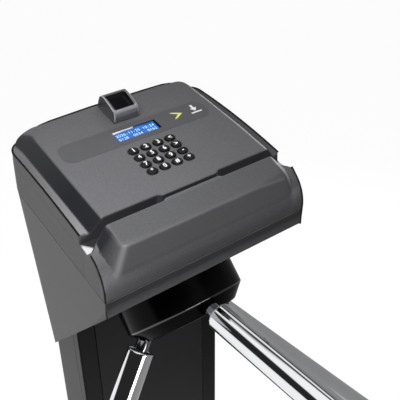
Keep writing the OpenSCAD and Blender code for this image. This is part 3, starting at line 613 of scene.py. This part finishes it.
def cover_field(x, y, z):
    """The cover's wall, with its key holes and display window cut out."""
    ledge, raised, slot, _, drop = cover_parts(x, y, z)
    outer = both(either(ledge, raised, 1.2), -slot, 1.0)
    wall = np.maximum(outer, -(outer + COVER_WALL))
    field = both(wall, (drop - SEAM_DROP) * CT, 0.7)
    u, v, w = panel_axes(x, y, z)
    depth = np.abs(w) - CUT_DEPTH
    window = np.maximum(np.abs(u) - LCD_SIZE[0] / 2, np.abs(v - LCD_V) - LCD_SIZE[1] / 2)
    for hole in (key_hole(u, v)[0], window):
        field = np.maximum(field, -np.maximum(hole, depth))
    return field


# Painted light and shade of the cover: each function gives the strength of the dark zones, painted shade
# with some plain darkening, and of the light zones, painted highlights, by ramps between two places or
# distances in millimetres

def on_right(x):
    return ramp(x, 80, 100)


def flank_darkening_and_glint(x, y, ledge, flank, drop):
    """Dark slopes beside the panel, painted shade on the slope left of the bulge and a painted glint on the
    one right of it.
    """
    slope = ramp(np.abs(flank), 2.2, 1.2) * ramp(ledge, 0.3, 1.0) * ramp(drop, 1.6, 2.8)
    right = on_right(x)
    beside_panel = 1 - 0.2 * ramp(y, 60, 160)
    # painted shade on the bulge's left slope, and a painted glint on its right one
    shade_left_of_bulge = 0.95 * ramp(y, -44, -22) * (1 - right)
    glint_right_of_bulge = right * slope * (y < SLOT_Y) * (0.12 + 0.88 * ramp(y, -41, -30))
    return slope * np.where(y > SLOT_Y, beside_panel, shade_left_of_bulge), glint_right_of_bulge


def slot_shade_and_facet_highlights(x, y, z, slot, drop):
    """Painted shade deep in the slot, with painted highlights on facets at the ends of its floor."""
    off_floor = np.abs(z - (NOTCH_FRONT[1] + (y - NOTCH_FRONT[0]) * NOTCH_SLOPE))
    # painted highlights on the facets at the ends of the slot's floor
    facet_highlight = ramp(np.abs(x) - np.abs(y + 8.5), 142.5, 145.5) * ramp(off_floor, 1.2, 0.5)
    facet_highlight = facet_highlight * ramp(head_side(x, y, drop), -0.2, -0.9)
    # painted shade inside the slot
    deep = np.where(y > SLOT_Y, 1, ramp(drop, 2.0, 3.4))
    return ramp(slot, 1.0, 0.3) * ramp(drop, 0.5, 1.4) * deep * (1 - facet_highlight), facet_highlight


def ledge_light_and_shade(x, y, raised, flank, drop):
    """Painted light on the left ledge, stronger towards the front; painted shade on the right ledge and its
    back corner, beside a painted highlight along the panel's right edge.
    """
    right = on_right(x)
    off_ledge = np.abs(drop + ledge_rise(x, y) - LEDGE_DROP)
    on_ledge = ramp(off_ledge, 1.2, 0.5) * ramp(raised, 0.3, 1.0) * ramp(y, 2, 6)
    # painted shade on the right ledge's back corner, and a painted highlight along the panel's right edge
    back_corner_shade = right * ramp(y, 150, 162) * ramp(drop - back_droop(x, y), 0.6, 1.6)
    edge = right * ramp(np.hypot(flank, drop), 2.6, 1.4) * ramp(y, -2, 4) * ramp(y, 165, 150)
    # painted light on the left ledge, stronger towards the front
    left_ledge_light = on_ledge * (0.05 + 0.24 * ramp(y, 130, 0)) * (1 - right)
    return np.maximum(0.6 * on_ledge * right, 0.8 * back_corner_shade), np.maximum(left_ledge_light, 0.8 * edge)


def bulge_darkening_and_highlights(x, y, z, slot, flank):
    """The bulge's crown is a little darker. Its front, left corner and the nose below get painted
    highlights.
    """
    front = bulge_front(y, z)
    on_crown = ramp(y, -10.5, -12.5) * ramp(front, -1.0, -4.0) * ramp(flank, -1, -4) * ramp(slot, 0.3, 1.0)
    # painted highlights on the bulge's front and a painted glint on its left corner
    across = np.maximum(flank + BULGE_CORNER, 0)
    ahead = np.maximum(front + BULGE_CORNER, 0)
    skin = ramp(np.hypot(across, ahead), BULGE_CORNER - 1.6, BULGE_CORNER - 0.8)
    skin = skin * ramp(y, -24, -30) * ramp(z, -60, -46)
    bearing = np.degrees(np.arctan2(ahead, across))
    glint = np.exp(-((bearing - 57) / 17) ** 2) * ramp(x, -100, -115)
    front_highlight = skin * (0.125 * ramp(y, -40, -43) + 0.30 * glint)
    # painted highlight on the left end of the nose
    nose_highlight = 0.13 * ramp(x, -85, -150) * ramp(y, -36, -44)
    return 0.24 * on_crown, np.maximum(front_highlight, nose_highlight)


def cover_light_and_shade(points):
    x, y, z = points.T
    ledge, raised, slot, flank, drop = cover_parts(x, y, z)
    zones = (flank_darkening_and_glint(x, y, ledge, flank, drop), slot_shade_and_facet_highlights(x, y, z, slot, drop),
             ledge_light_and_shade(x, y, raised, flank, drop), bulge_darkening_and_highlights(x, y, z, slot, flank))
    return [np.maximum.reduce(strengths) for strengths in zip(*zones)]


def build_cover():
    field = cover_field(*grid(COVER_LOW, COVER_HIGH, COVER_STEP))
    mesh, points = surface("cover_shell", field, COVER_LOW, COVER_STEP, HEAD_FRAME)
    points, on_rim = crisp_rims(points)
    place_points(mesh, points, HEAD_FRAME)
    ends = np.empty(2 * len(mesh.edges), np.int32)
    mesh.edges.foreach_get("vertices", ends)
    sharp = on_rim[ends].reshape(-1, 2).all(1)
    mesh.attributes.new("sharp_edge", "BOOLEAN", "EDGE").data.foreach_set("value", sharp)
    # paints the cover's shade and highlights into its colour
    paint_light_and_shade(mesh, *cover_light_and_shade(points))
    piece("cover_shell", mesh, [FINISH["cover_grey"]], replaced=["top_cover"])


# The black edge bead, a painted dark reflection along the cover's rounded edges

# sizes of the black bead that paints the dark reflection on the rounded edges
BEAD_SINK, BACK_SINK = 0.35, 1.3
RIM_BEAD_R, LEFT_BEAD_R, RIGHT_BEAD_R = 1.3, 1.1, 1.9
BEAD_LOW = (-104, -94)
BEAD_START, BEAD_TURN_R = 3.5, 20.5
BACK_SPOTS = (126, 122, 118, 112, 104, 90, 60, 30)


def sweep(name, path, radius, count=10):
    """A tube along a path of points in metres."""
    points = []
    side = None
    for i, p in enumerate(path):
        along = (path[min(i + 1, len(path) - 1)] - path[max(i - 1, 0)]).normalized()
        if side is None:
            side = along.orthogonal().normalized()
        side = (side - along * side.dot(along)).normalized()
        up = along.cross(side)
        for k in range(count):
            a = 2 * math.pi * k / count
            points.append(p + (side * math.cos(a) + up * math.sin(a)) * radius)
    return mesh_of(name, points, tube_faces(len(path), count))


def shoulder_drop(x):
    """Drop of the back edge, which falls away towards the corners."""
    return 0.8 + max(0.0, abs(x) - 92) ** 2 / 145 + float(back_droop(x, BACK_Y))


def shade_bead_nose(hand):
    """Path down one front corner of the head; hand is 1 on the right and -1 on the left."""
    run = []
    straight = [(NOSE_FRONT, z) for z in BEAD_LOW]
    for y, z in [*straight, *arc(NOSE_Y, NOSE_Z, NOSE_R, 180, 122.5, 18)]:
        # the right corner stands a little prouder
        proud = 1 + HORN_PROUD / NOSE_R * float(ramp(z, -90, -80)) * (hand > 0)
        y, z = NOSE_Y + (y - NOSE_Y) * proud, NOSE_Z + (z - NOSE_Z) * proud
        inward = BEAD_SINK + 0.9 * float(ramp(y, -18, -30))
        half = float(cover_half(hand, y, y * TN - z))
        run.append((hand * (half - inward), y + inward, z - inward))
    return run


def shade_bead_rim(hand):
    """Path along one ledge, round the back corner and to the middle of the back edge."""
    run = []
    for y in np.linspace(BEAD_START, BACK_Y - 20, 18):
        half = float(ledge_half(hand, y))
        run.append((hand * (half - BEAD_SINK), y, y * TN - float(rim_drop(y)) - BEAD_SINK))
    reach = float(ledge_half(hand, 165))
    for a in np.linspace(0, math.pi / 2, 14)[1:]:
        x = reach - BEAD_TURN_R + BEAD_TURN_R * math.cos(a)
        y = BACK_Y - BEAD_TURN_R + BEAD_TURN_R * math.sin(a)
        z = y * TN - min(float(rim_drop(y)), shoulder_drop(hand * x)) - BEAD_SINK
        run.append((hand * (x - BEAD_SINK * math.cos(a)), y - BACK_SINK * math.sin(a), z))
    for x in BACK_SPOTS:
        run.append((hand * x, BACK_Y - BACK_SINK, BACK_Y * TN - shoulder_drop(hand * x) - BEAD_SINK))
    return run


def build_edge_shade_bead():
    """Black bead along the rim of the cover and down the front corners of the head, which paints the dark
    reflection on those rounded edges.
    """
    runs = ((shade_bead_nose(1), RIGHT_BEAD_R), (shade_bead_nose(-1), LEFT_BEAD_R),
            (shade_bead_rim(1) + shade_bead_rim(-1)[::-1], RIM_BEAD_R))
    parts = []
    for run, radius in runs:
        path = [HEAD + Vector(p) * MM for p in run]
        parts.append((sweep("seal_part", path, radius * MM), IN_PLACE, 0))
    piece("edge_seal", join("edge_seal", parts), [FINISH["rubber_black"]])


# Keys, display and label, in millimetres off the panel

# outward growth and height of the rings that make a key, from its flange to its top
KEY_RINGS = [(1.3, -5.2), (1.3, -3.6), (0, -3.6), (0, 1.2), (-0.12, 1.75), (-0.45, 2.2), (-0.95, 2.45),
             (-1.6, 2.55), (-3.2, 2.62)]
KEY_ROUND = 14
KEY_FIGURES = "123<456>789-*0#+"
STEM_R, STEM_LOW, STEM_TOP = 3.0, -6.4, -5.2
FIGURE_SIZE, FIGURE_DEPTH, FIGURE_LIFT = 9.2, 0.03, 2.63
FIGURE_WEIGHT, LIGHT_WEIGHT = 0.28, 0.10
GLASS_LOW, GLASS_TOP = -2.9, -2.2
TRIM_LIFT, TRIM_THICK, SHADE_STRIP_WIDE = -2.15, 1.8, 2.2
INK_LIFT, INK_SIZE, INK_DEPTH, INK_WEIGHT = -2.17, 6.6, 0.02, 0.05
DISPLAY_ROWS = ("2026-11-25 10:24", "0128  0034  0162")
INK_MIDDLE, INK_FIRST, INK_PITCH = 7.8, 2.6, (3.75, 7.4)
# the sill runs along the left half of the window's back and narrows to the right, painting the light on a
# pale frame
SILL_END, SILL_WIDE, SILL_NARROW = -1.0, 2.4, 0.9
MARK_LIFT, MARK_THICK = 0.4, 0.06
WAY_SPOT, CARD_SPOT, CARD_SCALE = (67, 118), (96, 119), 1.3


def text_mesh(text, size, depth, weight):
    curve = bpy.data.curves.new("figure", "FONT")
    curve.body, curve.size, curve.extrude = text, size * MM, depth * MM
    curve.align_x, curve.align_y = "CENTER", "CENTER"
    curve.offset = weight * MM
    holder = add_object("figure", curve)
    made = evaluated_mesh(holder)
    bpy.data.objects.remove(holder)
    bpy.data.curves.remove(curve)
    return made


def key_mesh():
    """Oval key: flange, straight skirt, rounded rim and a slightly domed top."""
    w, h = KEY_SIZE
    points = []
    for grow, height in KEY_RINGS:
        r = h / 2 + grow
        for s in (1, -1):
            for k in range(KEY_ROUND + 1):
                a = math.pi * (k / KEY_ROUND - 0.5) + (0 if s > 0 else math.pi)
                points.append(Vector((s * (w - h) / 2 + r * math.cos(a), r * math.sin(a), height)) * MM)
    return mesh_of("key_body", points, tube_faces(len(KEY_RINGS), 2 * KEY_ROUND + 2))


def build_keys():
    body = key_mesh()
    stem = lathe("key_stem", [(0, STEM_LOW), (STEM_R, STEM_LOW), (STEM_R, STEM_TOP), (0, STEM_TOP)], 24)
    for i, figure in enumerate(KEY_FIGURES):
        u, v = key_spot(i)
        # the font's 9 doesn't fill when it is thickened, so a turned 6 stands for it, and its 4 and
        # star only take a little weight
        weight = LIGHT_WEIGHT if figure in "4*" else FIGURE_WEIGHT
        mark = text_mesh("6" if figure == "9" else figure, FIGURE_SIZE, FIGURE_DEPTH, weight)
        turn = Matrix.Rotation(math.pi if figure == "9" else 0, 4, "Z")
        lift = Matrix.Translation(Vector((0, 0, FIGURE_LIFT * MM)))
        mesh = join(f"key_cap_{i + 1:02d}", [
            (body, IN_PLACE, 0), (stem, IN_PLACE, 0), (mark, lift @ turn, 1)])
        mesh.transform(at_panel(u, v, 0))
        piece(f"key_cap_{i + 1:02d}", mesh, [FINISH["key_black"], FINISH["white_print"]],
              f"key_{i + 1:02d}", [f"key_{i + 1:02d}"])


def plate(name, outline, thick):
    """A flat plate from a closed outline, in millimetres, that runs anticlockwise."""
    points = [Vector((x, y, z)) * MM for z in (0, thick) for x, y in outline]
    return mesh_of(name, points, tube_faces(2, len(outline)))


def box(name, low, high):
    """A plain block between two corners, in millimetres."""
    (x0, y0, z0), (x1, y1, z1) = low, high
    points = [Vector(p) * MM for p in itertools.product((x0, x1), (y0, y1), (z0, z1))]
    faces = [(0, 1, 3, 2), (4, 6, 7, 5), (0, 4, 5, 1), (2, 3, 7, 6), (0, 2, 6, 4), (1, 5, 7, 3)]
    return mesh_of(name, points, faces)


def display_figures():
    parts = []
    for r, row in enumerate(DISPLAY_ROWS):
        for k, char in enumerate(row):
            if char != " ":
                at = Vector(((k - INK_MIDDLE) * INK_PITCH[0], INK_FIRST - INK_PITCH[1] * r, 0)) * MM
                mark = text_mesh(char, INK_SIZE, INK_DEPTH, INK_WEIGHT)
                parts.append((mark, Matrix.Translation(at), 0))
    return join("display_figures", parts)


def build_display():
    """A sunk blue window with two rows of figures, a pale sill and a black strip. The sill stands for a
    pale frame: it runs along the left half of the back only and narrows to the right, painting the light on
    that frame. The black strip at the right end is painted shade of the recess wall.
    """
    x, y = LCD_SIZE[0] / 2, LCD_SIZE[1] / 2
    # the pale sill paints the light on a pale frame, narrowing into shade towards the right
    sill = [(-x, y - SILL_WIDE), (SILL_END, y - SILL_NARROW), (SILL_END, y), (-x, y)]
    # a black strip at the right end, painted shade of the recess wall
    right_shade_strip = [(x - SHADE_STRIP_WIDE, y), (x - SHADE_STRIP_WIDE, -y), (x, -y), (x, y)]
    for name, mesh, lift, look, slot, replaced in (
            ("display_glass", box("display_glass", (-x, -y, GLASS_LOW), (x, y, GLASS_TOP)), 0,
             "display_blue", "display_blue", ["lcd_window"]),
            ("display_sill", plate("display_sill", sill, TRIM_THICK), TRIM_LIFT,
             "white_print", "display_blue", []),
            ("display_bezel", plate("display_bezel", right_shade_strip, TRIM_THICK), TRIM_LIFT,
             "reader_window", "reader_window", []),
            ("display_figures", display_figures(), INK_LIFT, "display_ink", "display_blue", [])):
        mesh.transform(at_panel(0, LCD_V, lift))
        piece(name, mesh, [FINISH[look]], replaced=replaced, smooth=False)


def build_label_marks():
    arrow = [(2.0, 0), (-8.5, -7.0), (-4.6, -7.0), (8.8, 0), (-4.6, 7.0), (-8.5, 7.0)]
    mesh = plate("way_arrow", arrow, MARK_THICK)
    mesh.transform(at_panel(*WAY_SPOT, MARK_LIFT))
    piece("way_arrow", mesh, [FINISH["lime_print"]], smooth=False)
    card = [[(-1.4, 1.0), (-4.2, 1.0), (0, -4.0), (4.2, 1.0), (1.4, 1.0), (1.4, 6.5), (-1.4, 6.5)],
            [(-6.8, -7.2), (6.8, -7.2), (6.8, -5.2), (-6.8, -5.2)]]
    parts = [(plate("card_mark_part", c, MARK_THICK), IN_PLACE, 0) for c in card]
    mesh = join("card_mark", parts)
    mesh.transform(at_panel(*CARD_SPOT, MARK_LIFT) @ Matrix.Scale(CARD_SCALE, 4))
    piece("card_mark", mesh, [FINISH["white_print"]], smooth=False)


# The fingerprint reader, in millimetres from the middle of its lower edge on the panel

READER_V = 140.0
READER_STEP = 0.7
READER_LOW, READER_HIGH = (-23.1, -2.1, -1.4), (23.1, 46.2, 27.3)
READER_HALF, READER_LEAN = 20.5, 0.05
READER_OUTLINE = rounded([(0, -3), (0.6, 9), (4.2, 16.6), (14, 19.6), (26, 22.2), (35, 22.9), (41, 19),
                          (42.8, 10), (43, -3)], [0, 6, 5, 10, 8, 5, 4, 4, 0])
TROUGH_HALF, TROUGH_LEAN, TROUGH_MIDDLE = 14.8, 0.08, 15
TROUGH_OUTLINE = rounded([(5.4, 17.0), (11, 14.2), (32, 16.2), (36.4, 30), (-6, 30), (-6, 17.0)],
                         [1.5, 3, 4, 0, 0, 0])
WINDOW_Y, WINDOW_Z, WINDOW_HALF, WINDOW_DEPTH = 21.0, 13.2, 9.7, 1.4
WINDOW_LEAN = math.radians(10)


def reader_field(x, y, z):
    """A rounded block with a finger trough and a square pocket for the window."""
    ax = np.abs(x)
    outer = both(outline_distance(READER_OUTLINE, y, z), ax - READER_HALF + READER_LEAN * z, 1.6)
    trough_side = ax - TROUGH_HALF - TROUGH_LEAN * (z - TROUGH_MIDDLE)
    trough = both(outline_distance(TROUGH_OUTLINE, y, z), trough_side, 1.0)
    dy, dz = y - WINDOW_Y, z - WINDOW_Z
    along = dy * math.cos(WINDOW_LEAN) + dz * math.sin(WINDOW_LEAN)
    off = dz * math.cos(WINDOW_LEAN) - dy * math.sin(WINDOW_LEAN)
    pocket = np.maximum(np.maximum(ax, np.abs(along)) - WINDOW_HALF, -WINDOW_DEPTH - off)
    return np.maximum(np.maximum(both(outer, -trough, 1.0), -pocket), -z)


def reader_shade_and_highlights(points):
    """Painted shade on the cheeks and in the trough, and painted highlights on the side edges and front
    lip.
    """
    x, y, z = np.abs(points[:, 0]), points[:, 1], points[:, 2]
    wide = x + READER_LEAN * z
    off_skin = outline_distance(READER_OUTLINE, y, z)
    skin = ramp(off_skin, -1.3, -0.7)
    # painted shade on the outer cheeks and in the trough
    cheek = ramp(wide, 19.4, 20.2)
    trough_shade = ramp(off_skin, -0.9, -1.6) * ramp(y, 6.5, 8)
    # painted highlights on the side edges and the front lip
    edge = ramp(wide, 18.2, 18.9) * ramp(wide, 20.3, 20.0) * skin * ramp(z, 1, 4)
    lip = ramp(x, 18.5, 17.0) * skin * ramp(z, 12.5, 14.5) * ramp(y, 8.0, 6.5)
    return np.maximum(cheek, trough_shade), np.maximum(0.8 * edge, 0.55 * lip)


def build_reader():
    field = reader_field(*grid(READER_LOW, READER_HIGH, READER_STEP))
    mesh, points = surface("reader_shell", field, READER_LOW, READER_STEP, at_panel(0, READER_V, 0))
    paint_light_and_shade(mesh, *reader_shade_and_highlights(points))
    piece("reader_shell", mesh, [FINISH["reader_black"]],
          replaced=["fingerprint_housing"])


# The hub and its arms, in millimetres along the drive's axis and along each arm

HUB_R, RIM_H, BEVEL, HUB_WALL = 88.5, 55.8, 18.5, 4.0
HUB_BACK = -20.7
HUB_ROUNDS = [0, 1.2, 3.5, 5, 0]
INNER_BEVEL = 1.7
GLOSS_WIDE, GLOSS_HIGH = 2.4, 3.2
NECK_R, NECK_GAP, NECK_START = 10.0, 0.6, 50.0
DRILL_START, DRILL_END = 80.0, 140.0
ARM_R, TUBE_WALL, ARM_START, ARM_END = 19.05, 1.5, 117.0, 556.0
TUBE_EDGE, TUBE_INNER_EDGE, TUBE_LIP, TUBE_BAND, TUBE_INNER_RUN = 0.5, 0.45, 3.0, 40.0, 60.0
NECK_SINK, PLUG_SINK, PLUG_EDGE, PLUG_END = 1.2, 1.5, 0.4, 35.5


def bake(obj):
    """Replaces an object's mesh by its modified one."""
    mesh = evaluated_mesh(obj)
    old = obj.data
    obj.modifiers.clear()
    obj.data = mesh
    mesh.name = old.name
    bpy.data.meshes.remove(old)


def hub_mesh():
    """A hollow drum with a bevelled face."""
    face = RIM_H + BEVEL
    inner_r = HUB_R - HUB_WALL
    corners = [(0, HUB_BACK), (HUB_R, HUB_BACK), (HUB_R, -RIM_H), (HUB_R - BEVEL, -face), (0, -face)]
    outside = rounded(corners, HUB_ROUNDS, 6)[1:-1]
    inside = [(HUB_R - BEVEL - INNER_BEVEL, -face + HUB_WALL), (inner_r, -RIM_H + INNER_BEVEL)]
    profile = [(inner_r, HUB_BACK), *outside, (0, -face), (0, -face + HUB_WALL), *inside]
    return lathe("hub_shell", profile, 160, DRIVE_FRAME, closed=True)


def build_hub():
    """The drum, with a glossier line round its rim, a duller face and holes for the arms' necks."""
    drum = hub_mesh()
    made = piece("hub_shell", drum, [FINISH["hub_black"], FINISH["hub_rim"], FINISH["hub_face"]], TRIPOD,
                 ["hub_cover"])
    back = DRIVE_FRAME.inverted()
    for polygon in drum.polygons:
        at = back @ polygon.center / MM
        if math.hypot(at.x, at.y) > HUB_R - GLOSS_WIDE and abs(at.z + RIM_H) < GLOSS_HIGH:
            polygon.material_index = 1
        elif at.z < -RIM_H:
            polygon.material_index = 2
    cutters = []
    hole = NECK_R + NECK_GAP
    for i in range(3):
        drill = [(0, DRILL_START), (hole, DRILL_START), (hole, DRILL_END), (0, DRILL_END)]
        cutter = add_object("hub_drill", lathe("hub_drill", drill, 48, arm_frame(i)))
        cut = made.modifiers.new("drill", "BOOLEAN")
        cut.object, cut.operation, cut.solver = cutter, "DIFFERENCE", "EXACT"
        cutters.append(cutter)
    bake(made)
    for cutter in cutters:
        bpy.data.objects.remove(cutter)
    made.modifiers.new("normals", "WEIGHTED_NORMAL").keep_sharp = True


def build_arms():
    """Three chrome tubes, each on a steel neck with a black plug sunk in the tube's end, whose black colour
    is painted shade of the tube's inside.
    """
    inner = ARM_R - TUBE_WALL
    start, end = ARM_START, ARM_END
    tube = [(inner, start + PLUG_SINK), (inner, start + TUBE_EDGE), (inner + TUBE_INNER_EDGE, start),
            (ARM_R - TUBE_EDGE, start), (ARM_R, start + TUBE_EDGE), (ARM_R, start + TUBE_LIP)]
    tube += [(ARM_R, t) for t in np.linspace(start + TUBE_BAND, end - TUBE_BAND, 8)]
    tube += [(ARM_R, end - TUBE_EDGE), (ARM_R - TUBE_EDGE, end), (inner, end),
             (inner, start + TUBE_INNER_RUN)]
    neck = [(0, NECK_START), (NECK_R, NECK_START), (NECK_R, start + NECK_SINK)]
    # the plug is sunk in the tube's end, and its black colour paints the shade inside the tube
    plug = [(NECK_R, start + PLUG_SINK), (inner - PLUG_EDGE, start + PLUG_SINK),
            (inner, start + PLUG_SINK + PLUG_EDGE), (inner, start + PLUG_END), (0, start + PLUG_END)]
    for i in range(3):
        sleeve = lathe(f"arm_sleeve_{i + 1}", tube[::-1], 128, arm_frame(i), closed=True)
        piece(f"arm_sleeve_{i + 1}", sleeve, [FINISH["chrome"]], TRIPOD, [f"arm_tube_{i + 1}"])
        joined = join(f"arm_neck_{i + 1}", [
            (lathe("neck_part", neck[::-1], 96, arm_frame(i)), IN_PLACE, 0),
            (lathe("plug_part", plug[::-1], 96, arm_frame(i)), IN_PLACE, 1)])
        piece(f"arm_neck_{i + 1}", joined, [FINISH["neck_steel"], FINISH["cap_black"]], TRIPOD,
              [f"arm_stub_{i + 1}"])


# Carried-over solids

# width of the eased edges, in millimetres
EASED = {"column_shell": 1.2, "column_trim_left": 1.0, "column_trim_right": 1.0, "column_door": 1.0,
         "base_plate": 1.5, "lower_housing": 0.5, "label_strip": 0.12, "arm_caps": 0.3}
WELD_REACH = 1e-5
EASED_ANGLE = math.radians(28)
# bounds of the way that the lower housing's front skirt faces, short of the underside; these faces take a
# darker, duller grey as painted shade
SKIRT_Y, SKIRT_Z = -0.6, -0.68


def ease_edges(solid, width):
    solid.data.polygons.foreach_set("use_smooth", [True] * len(solid.data.polygons))
    solid.modifiers.new("weld", "WELD").merge_threshold = WELD_REACH
    bevel = solid.modifiers.new("ease", "BEVEL")
    bevel.width, bevel.segments, bevel.limit_method = width * MM, 3, "ANGLE"
    bevel.angle_limit = EASED_ANGLE
    solid.modifiers.new("normals", "WEIGHTED_NORMAL").keep_sharp = True


def dress_solids():
    slots = {s["node"]: s["material_slot"] for s in frame["record"]["subparts"]}
    for name, solid in frame["nodes"].items():
        solid.data.materials.clear()
        solid.data.materials.append(FINISH[slots[name]])
        # the lower housing's front skirt takes the darker grey as painted shade
        if name == "lower_housing":
            solid.data.materials.append(FINISH["skirt_grey"])
            for polygon in solid.data.polygons:
                polygon.material_index = int(polygon.normal.y < SKIRT_Y and polygon.normal.z > SKIRT_Z)
        if name in EASED:
            ease_edges(solid, EASED[name])


# Stage, light and camera, in metres

FLOOR_HALF = 40
FLOOR_LEVEL, FLOOR_GLOW = 0.2, 0.93
FLOOR_SHADE, SHADE_RUN = (1.0, 0.22), (0.10, 0.50)
ROOM_LEVEL, SIDE_BLEND = 0.18, 0.15
# grey levels that mirrors see, from the horizon (0) to straight up (1): on the left a pale low band, a
# dark room and a bright ceiling, on the right a dim room with a bright band below the ceiling
LEFT_ROOM = ((0.0, 0.9), (0.07, 0.9), (0.11, 0.02), (0.68, 0.02), (0.75, 1.0))
RIGHT_ROOM = ((0.0, 0.30), (0.52, 0.20), (0.60, 0.04), (0.65, 0.04), (0.70, 0.9), (0.77, 0.9), (0.80, 0.05),
              (0.85, 0.05), (0.88, 1.0))
# name, place, aim, size, watts, spread in degrees, whether it lights and whether mirrors show it
LAMPS = (
    ("back_softbox", (0.70, 0.20, 2.60), (0, -0.05, 1.0), (1.2, 1.2), 3.0, 180, True, False),
    ("overhead", (-0.24, -0.20, 1.40), (-0.10, -0.12, 1.0), (0.3, 0.3), 0.85, 100, True, False),
    ("front_key", (-0.30, -0.55, 2.05), (0, -0.12, 0.98), (0.5, 0.5), 2.6, 180, True, False),
    ("front_strip", (0.05, -2.40, 0.92), (0, 0, 0.80), (1.7, 0.45), 14.0, 180, False, True),
    ("right_rim", (1.30, 0.95, 1.25), (0, 0, 0.98), (0.5, 0.5), 7.0, 180, True, False))
CAMERA_AT = (-0.440914, -0.701578, 1.445079)
CAMERA_TURN = (57.07042, 0.65391, -37.68190)
FOCAL_PIXELS, PHOTO_PIXELS = 707.469, 400
SENSOR_WIDTH = 36
LENS_SHIFT = (0.0044, -0.0094)


def axes_of(tree, kind):
    split = tree.nodes.new("ShaderNodeSeparateXYZ")
    tree.links.new(tree.nodes.new("ShaderNodeTexCoord").outputs[kind], split.inputs[0])
    return split.outputs


def build_floor():
    """A floor that glows white for the camera and in mirrors, and otherwise only returns some light."""
    h = FLOOR_HALF
    corners = [(-h, -h, 0), (h, -h, 0), (h, h, 0), (-h, h, 0)]
    floor = add_object("floor", mesh_of("floor", corners, [(0, 1, 2, 3)]))
    white = bpy.data.materials.new("floor_white")
    white.use_nodes = True
    tree = white.node_tree
    shader = tree.nodes["Principled BSDF"]
    shader.inputs["Base Color"].default_value = (FLOOR_LEVEL, FLOOR_LEVEL, FLOOR_LEVEL, 1)
    shader.inputs["Roughness"].default_value = 0.9
    shader.inputs["Specular IOR Level"].default_value = 0.1
    shader.inputs["Emission Color"].default_value = (1, 1, 1, 1)
    ray = tree.nodes.new("ShaderNodeLightPath").outputs
    # metal sees the floor grow darker towards the right
    shade = remap(tree, axes_of(tree, "Object")["X"], *FLOOR_SHADE, *SHADE_RUN)
    mirrored = combine(tree, "MULTIPLY", shade, ray["Is Glossy Ray"])
    seen = combine(tree, "MAXIMUM", ray["Is Camera Ray"], mirrored)
    seen = combine(tree, "MAXIMUM", seen, ray["Is Transmission Ray"])
    tree.links.new(remap(tree, seen, 0, FLOOR_GLOW, 0, 1), shader.inputs["Emission Strength"])
    floor.data.materials.append(white)


def grey_ramp(tree, height, stops):
    room = tree.nodes.new("ShaderNodeValToRGB")
    room.color_ramp.elements.remove(room.color_ramp.elements[1])
    for k, (at, level) in enumerate(stops):
        stop = room.color_ramp.elements[0] if k == 0 else room.color_ramp.elements.new(at)
        stop.position, stop.color = at, (level, level, level, 1)
    tree.links.new(height, room.inputs["Fac"])
    return room.outputs["Color"]


def mix_shader(tree, factor, first, second):
    made = tree.nodes.new("ShaderNodeMixShader")
    for source, socket in zip((factor, first, second), made.inputs):
        tree.links.new(source, socket)
    return made.outputs[0]


def build_world():
    """White for the camera, a painted room for mirrors and an even dim light for the rest."""
    world = bpy.data.worlds.new("studio")
    bpy.context.scene.world = world
    world.use_nodes = True
    tree = world.node_tree
    tree.nodes.clear()
    out = tree.nodes.new("ShaderNodeOutputWorld")
    ray = tree.nodes.new("ShaderNodeLightPath").outputs
    way = axes_of(tree, "Generated")
    rooms = [grey_ramp(tree, way["Z"], stops) for stops in (LEFT_ROOM, RIGHT_ROOM)]
    mirror = tree.nodes.new("ShaderNodeBackground")
    room = blend_colour(tree, remap(tree, way["X"], 0, 1, -SIDE_BLEND, SIDE_BLEND), *rooms)
    tree.links.new(room, mirror.inputs["Color"])
    plain = node(tree, "ShaderNodeBackground", Color=(ROOM_LEVEL, ROOM_LEVEL, ROOM_LEVEL, 1))
    white = node(tree, "ShaderNodeBackground", Color=(1, 1, 1, 1))
    unseen = mix_shader(tree, ray["Is Glossy Ray"], plain.outputs[0], mirror.outputs[0])
    whole = mix_shader(tree, ray["Is Camera Ray"], unseen, white.outputs[0])
    tree.links.new(whole, out.inputs["Surface"])


def build_lamps():
    for name, at, aim, size, power, spread, lights, mirrored in LAMPS:
        lamp = bpy.data.lights.new(name, "AREA")
        lamp.shape, lamp.energy = "RECTANGLE", power
        lamp.size, lamp.size_y = size
        lamp.spread = math.radians(spread)
        holder = add_object(name, lamp)
        holder.location = at
        holder.rotation_euler = (Vector(aim) - Vector(at)).to_track_quat("-Z", "Y").to_euler()
        holder.visible_diffuse = lights
        holder.visible_glossy = mirrored


def build_camera():
    lens = bpy.data.cameras.new("camera")
    lens.sensor_width = SENSOR_WIDTH
    lens.lens = FOCAL_PIXELS / PHOTO_PIXELS * SENSOR_WIDTH
    lens.shift_x, lens.shift_y = LENS_SHIFT
    lens.clip_start, lens.clip_end = 0.05, 200
    made = add_object("camera", lens)
    turn = Euler([math.radians(a) for a in CAMERA_TURN]).to_matrix().to_4x4()
    made.matrix_world = Matrix.Translation(CAMERA_AT) @ turn
    bpy.context.scene.camera = made


build_camera()
build_floor()
build_world()
build_lamps()
dress_solids()
build_cover()
build_edge_shade_bead()
build_keys()
build_display()
build_label_marks()
build_reader()
build_hub()
build_arms()
# in the photograph the arms mirror the studio and not the head above them
for name in ("hub_shell", "lower_housing", "cover_shell"):
    bpy.data.objects[name].visible_glossy = False

bpy.context.scene.view_settings.view_transform = "Standard"
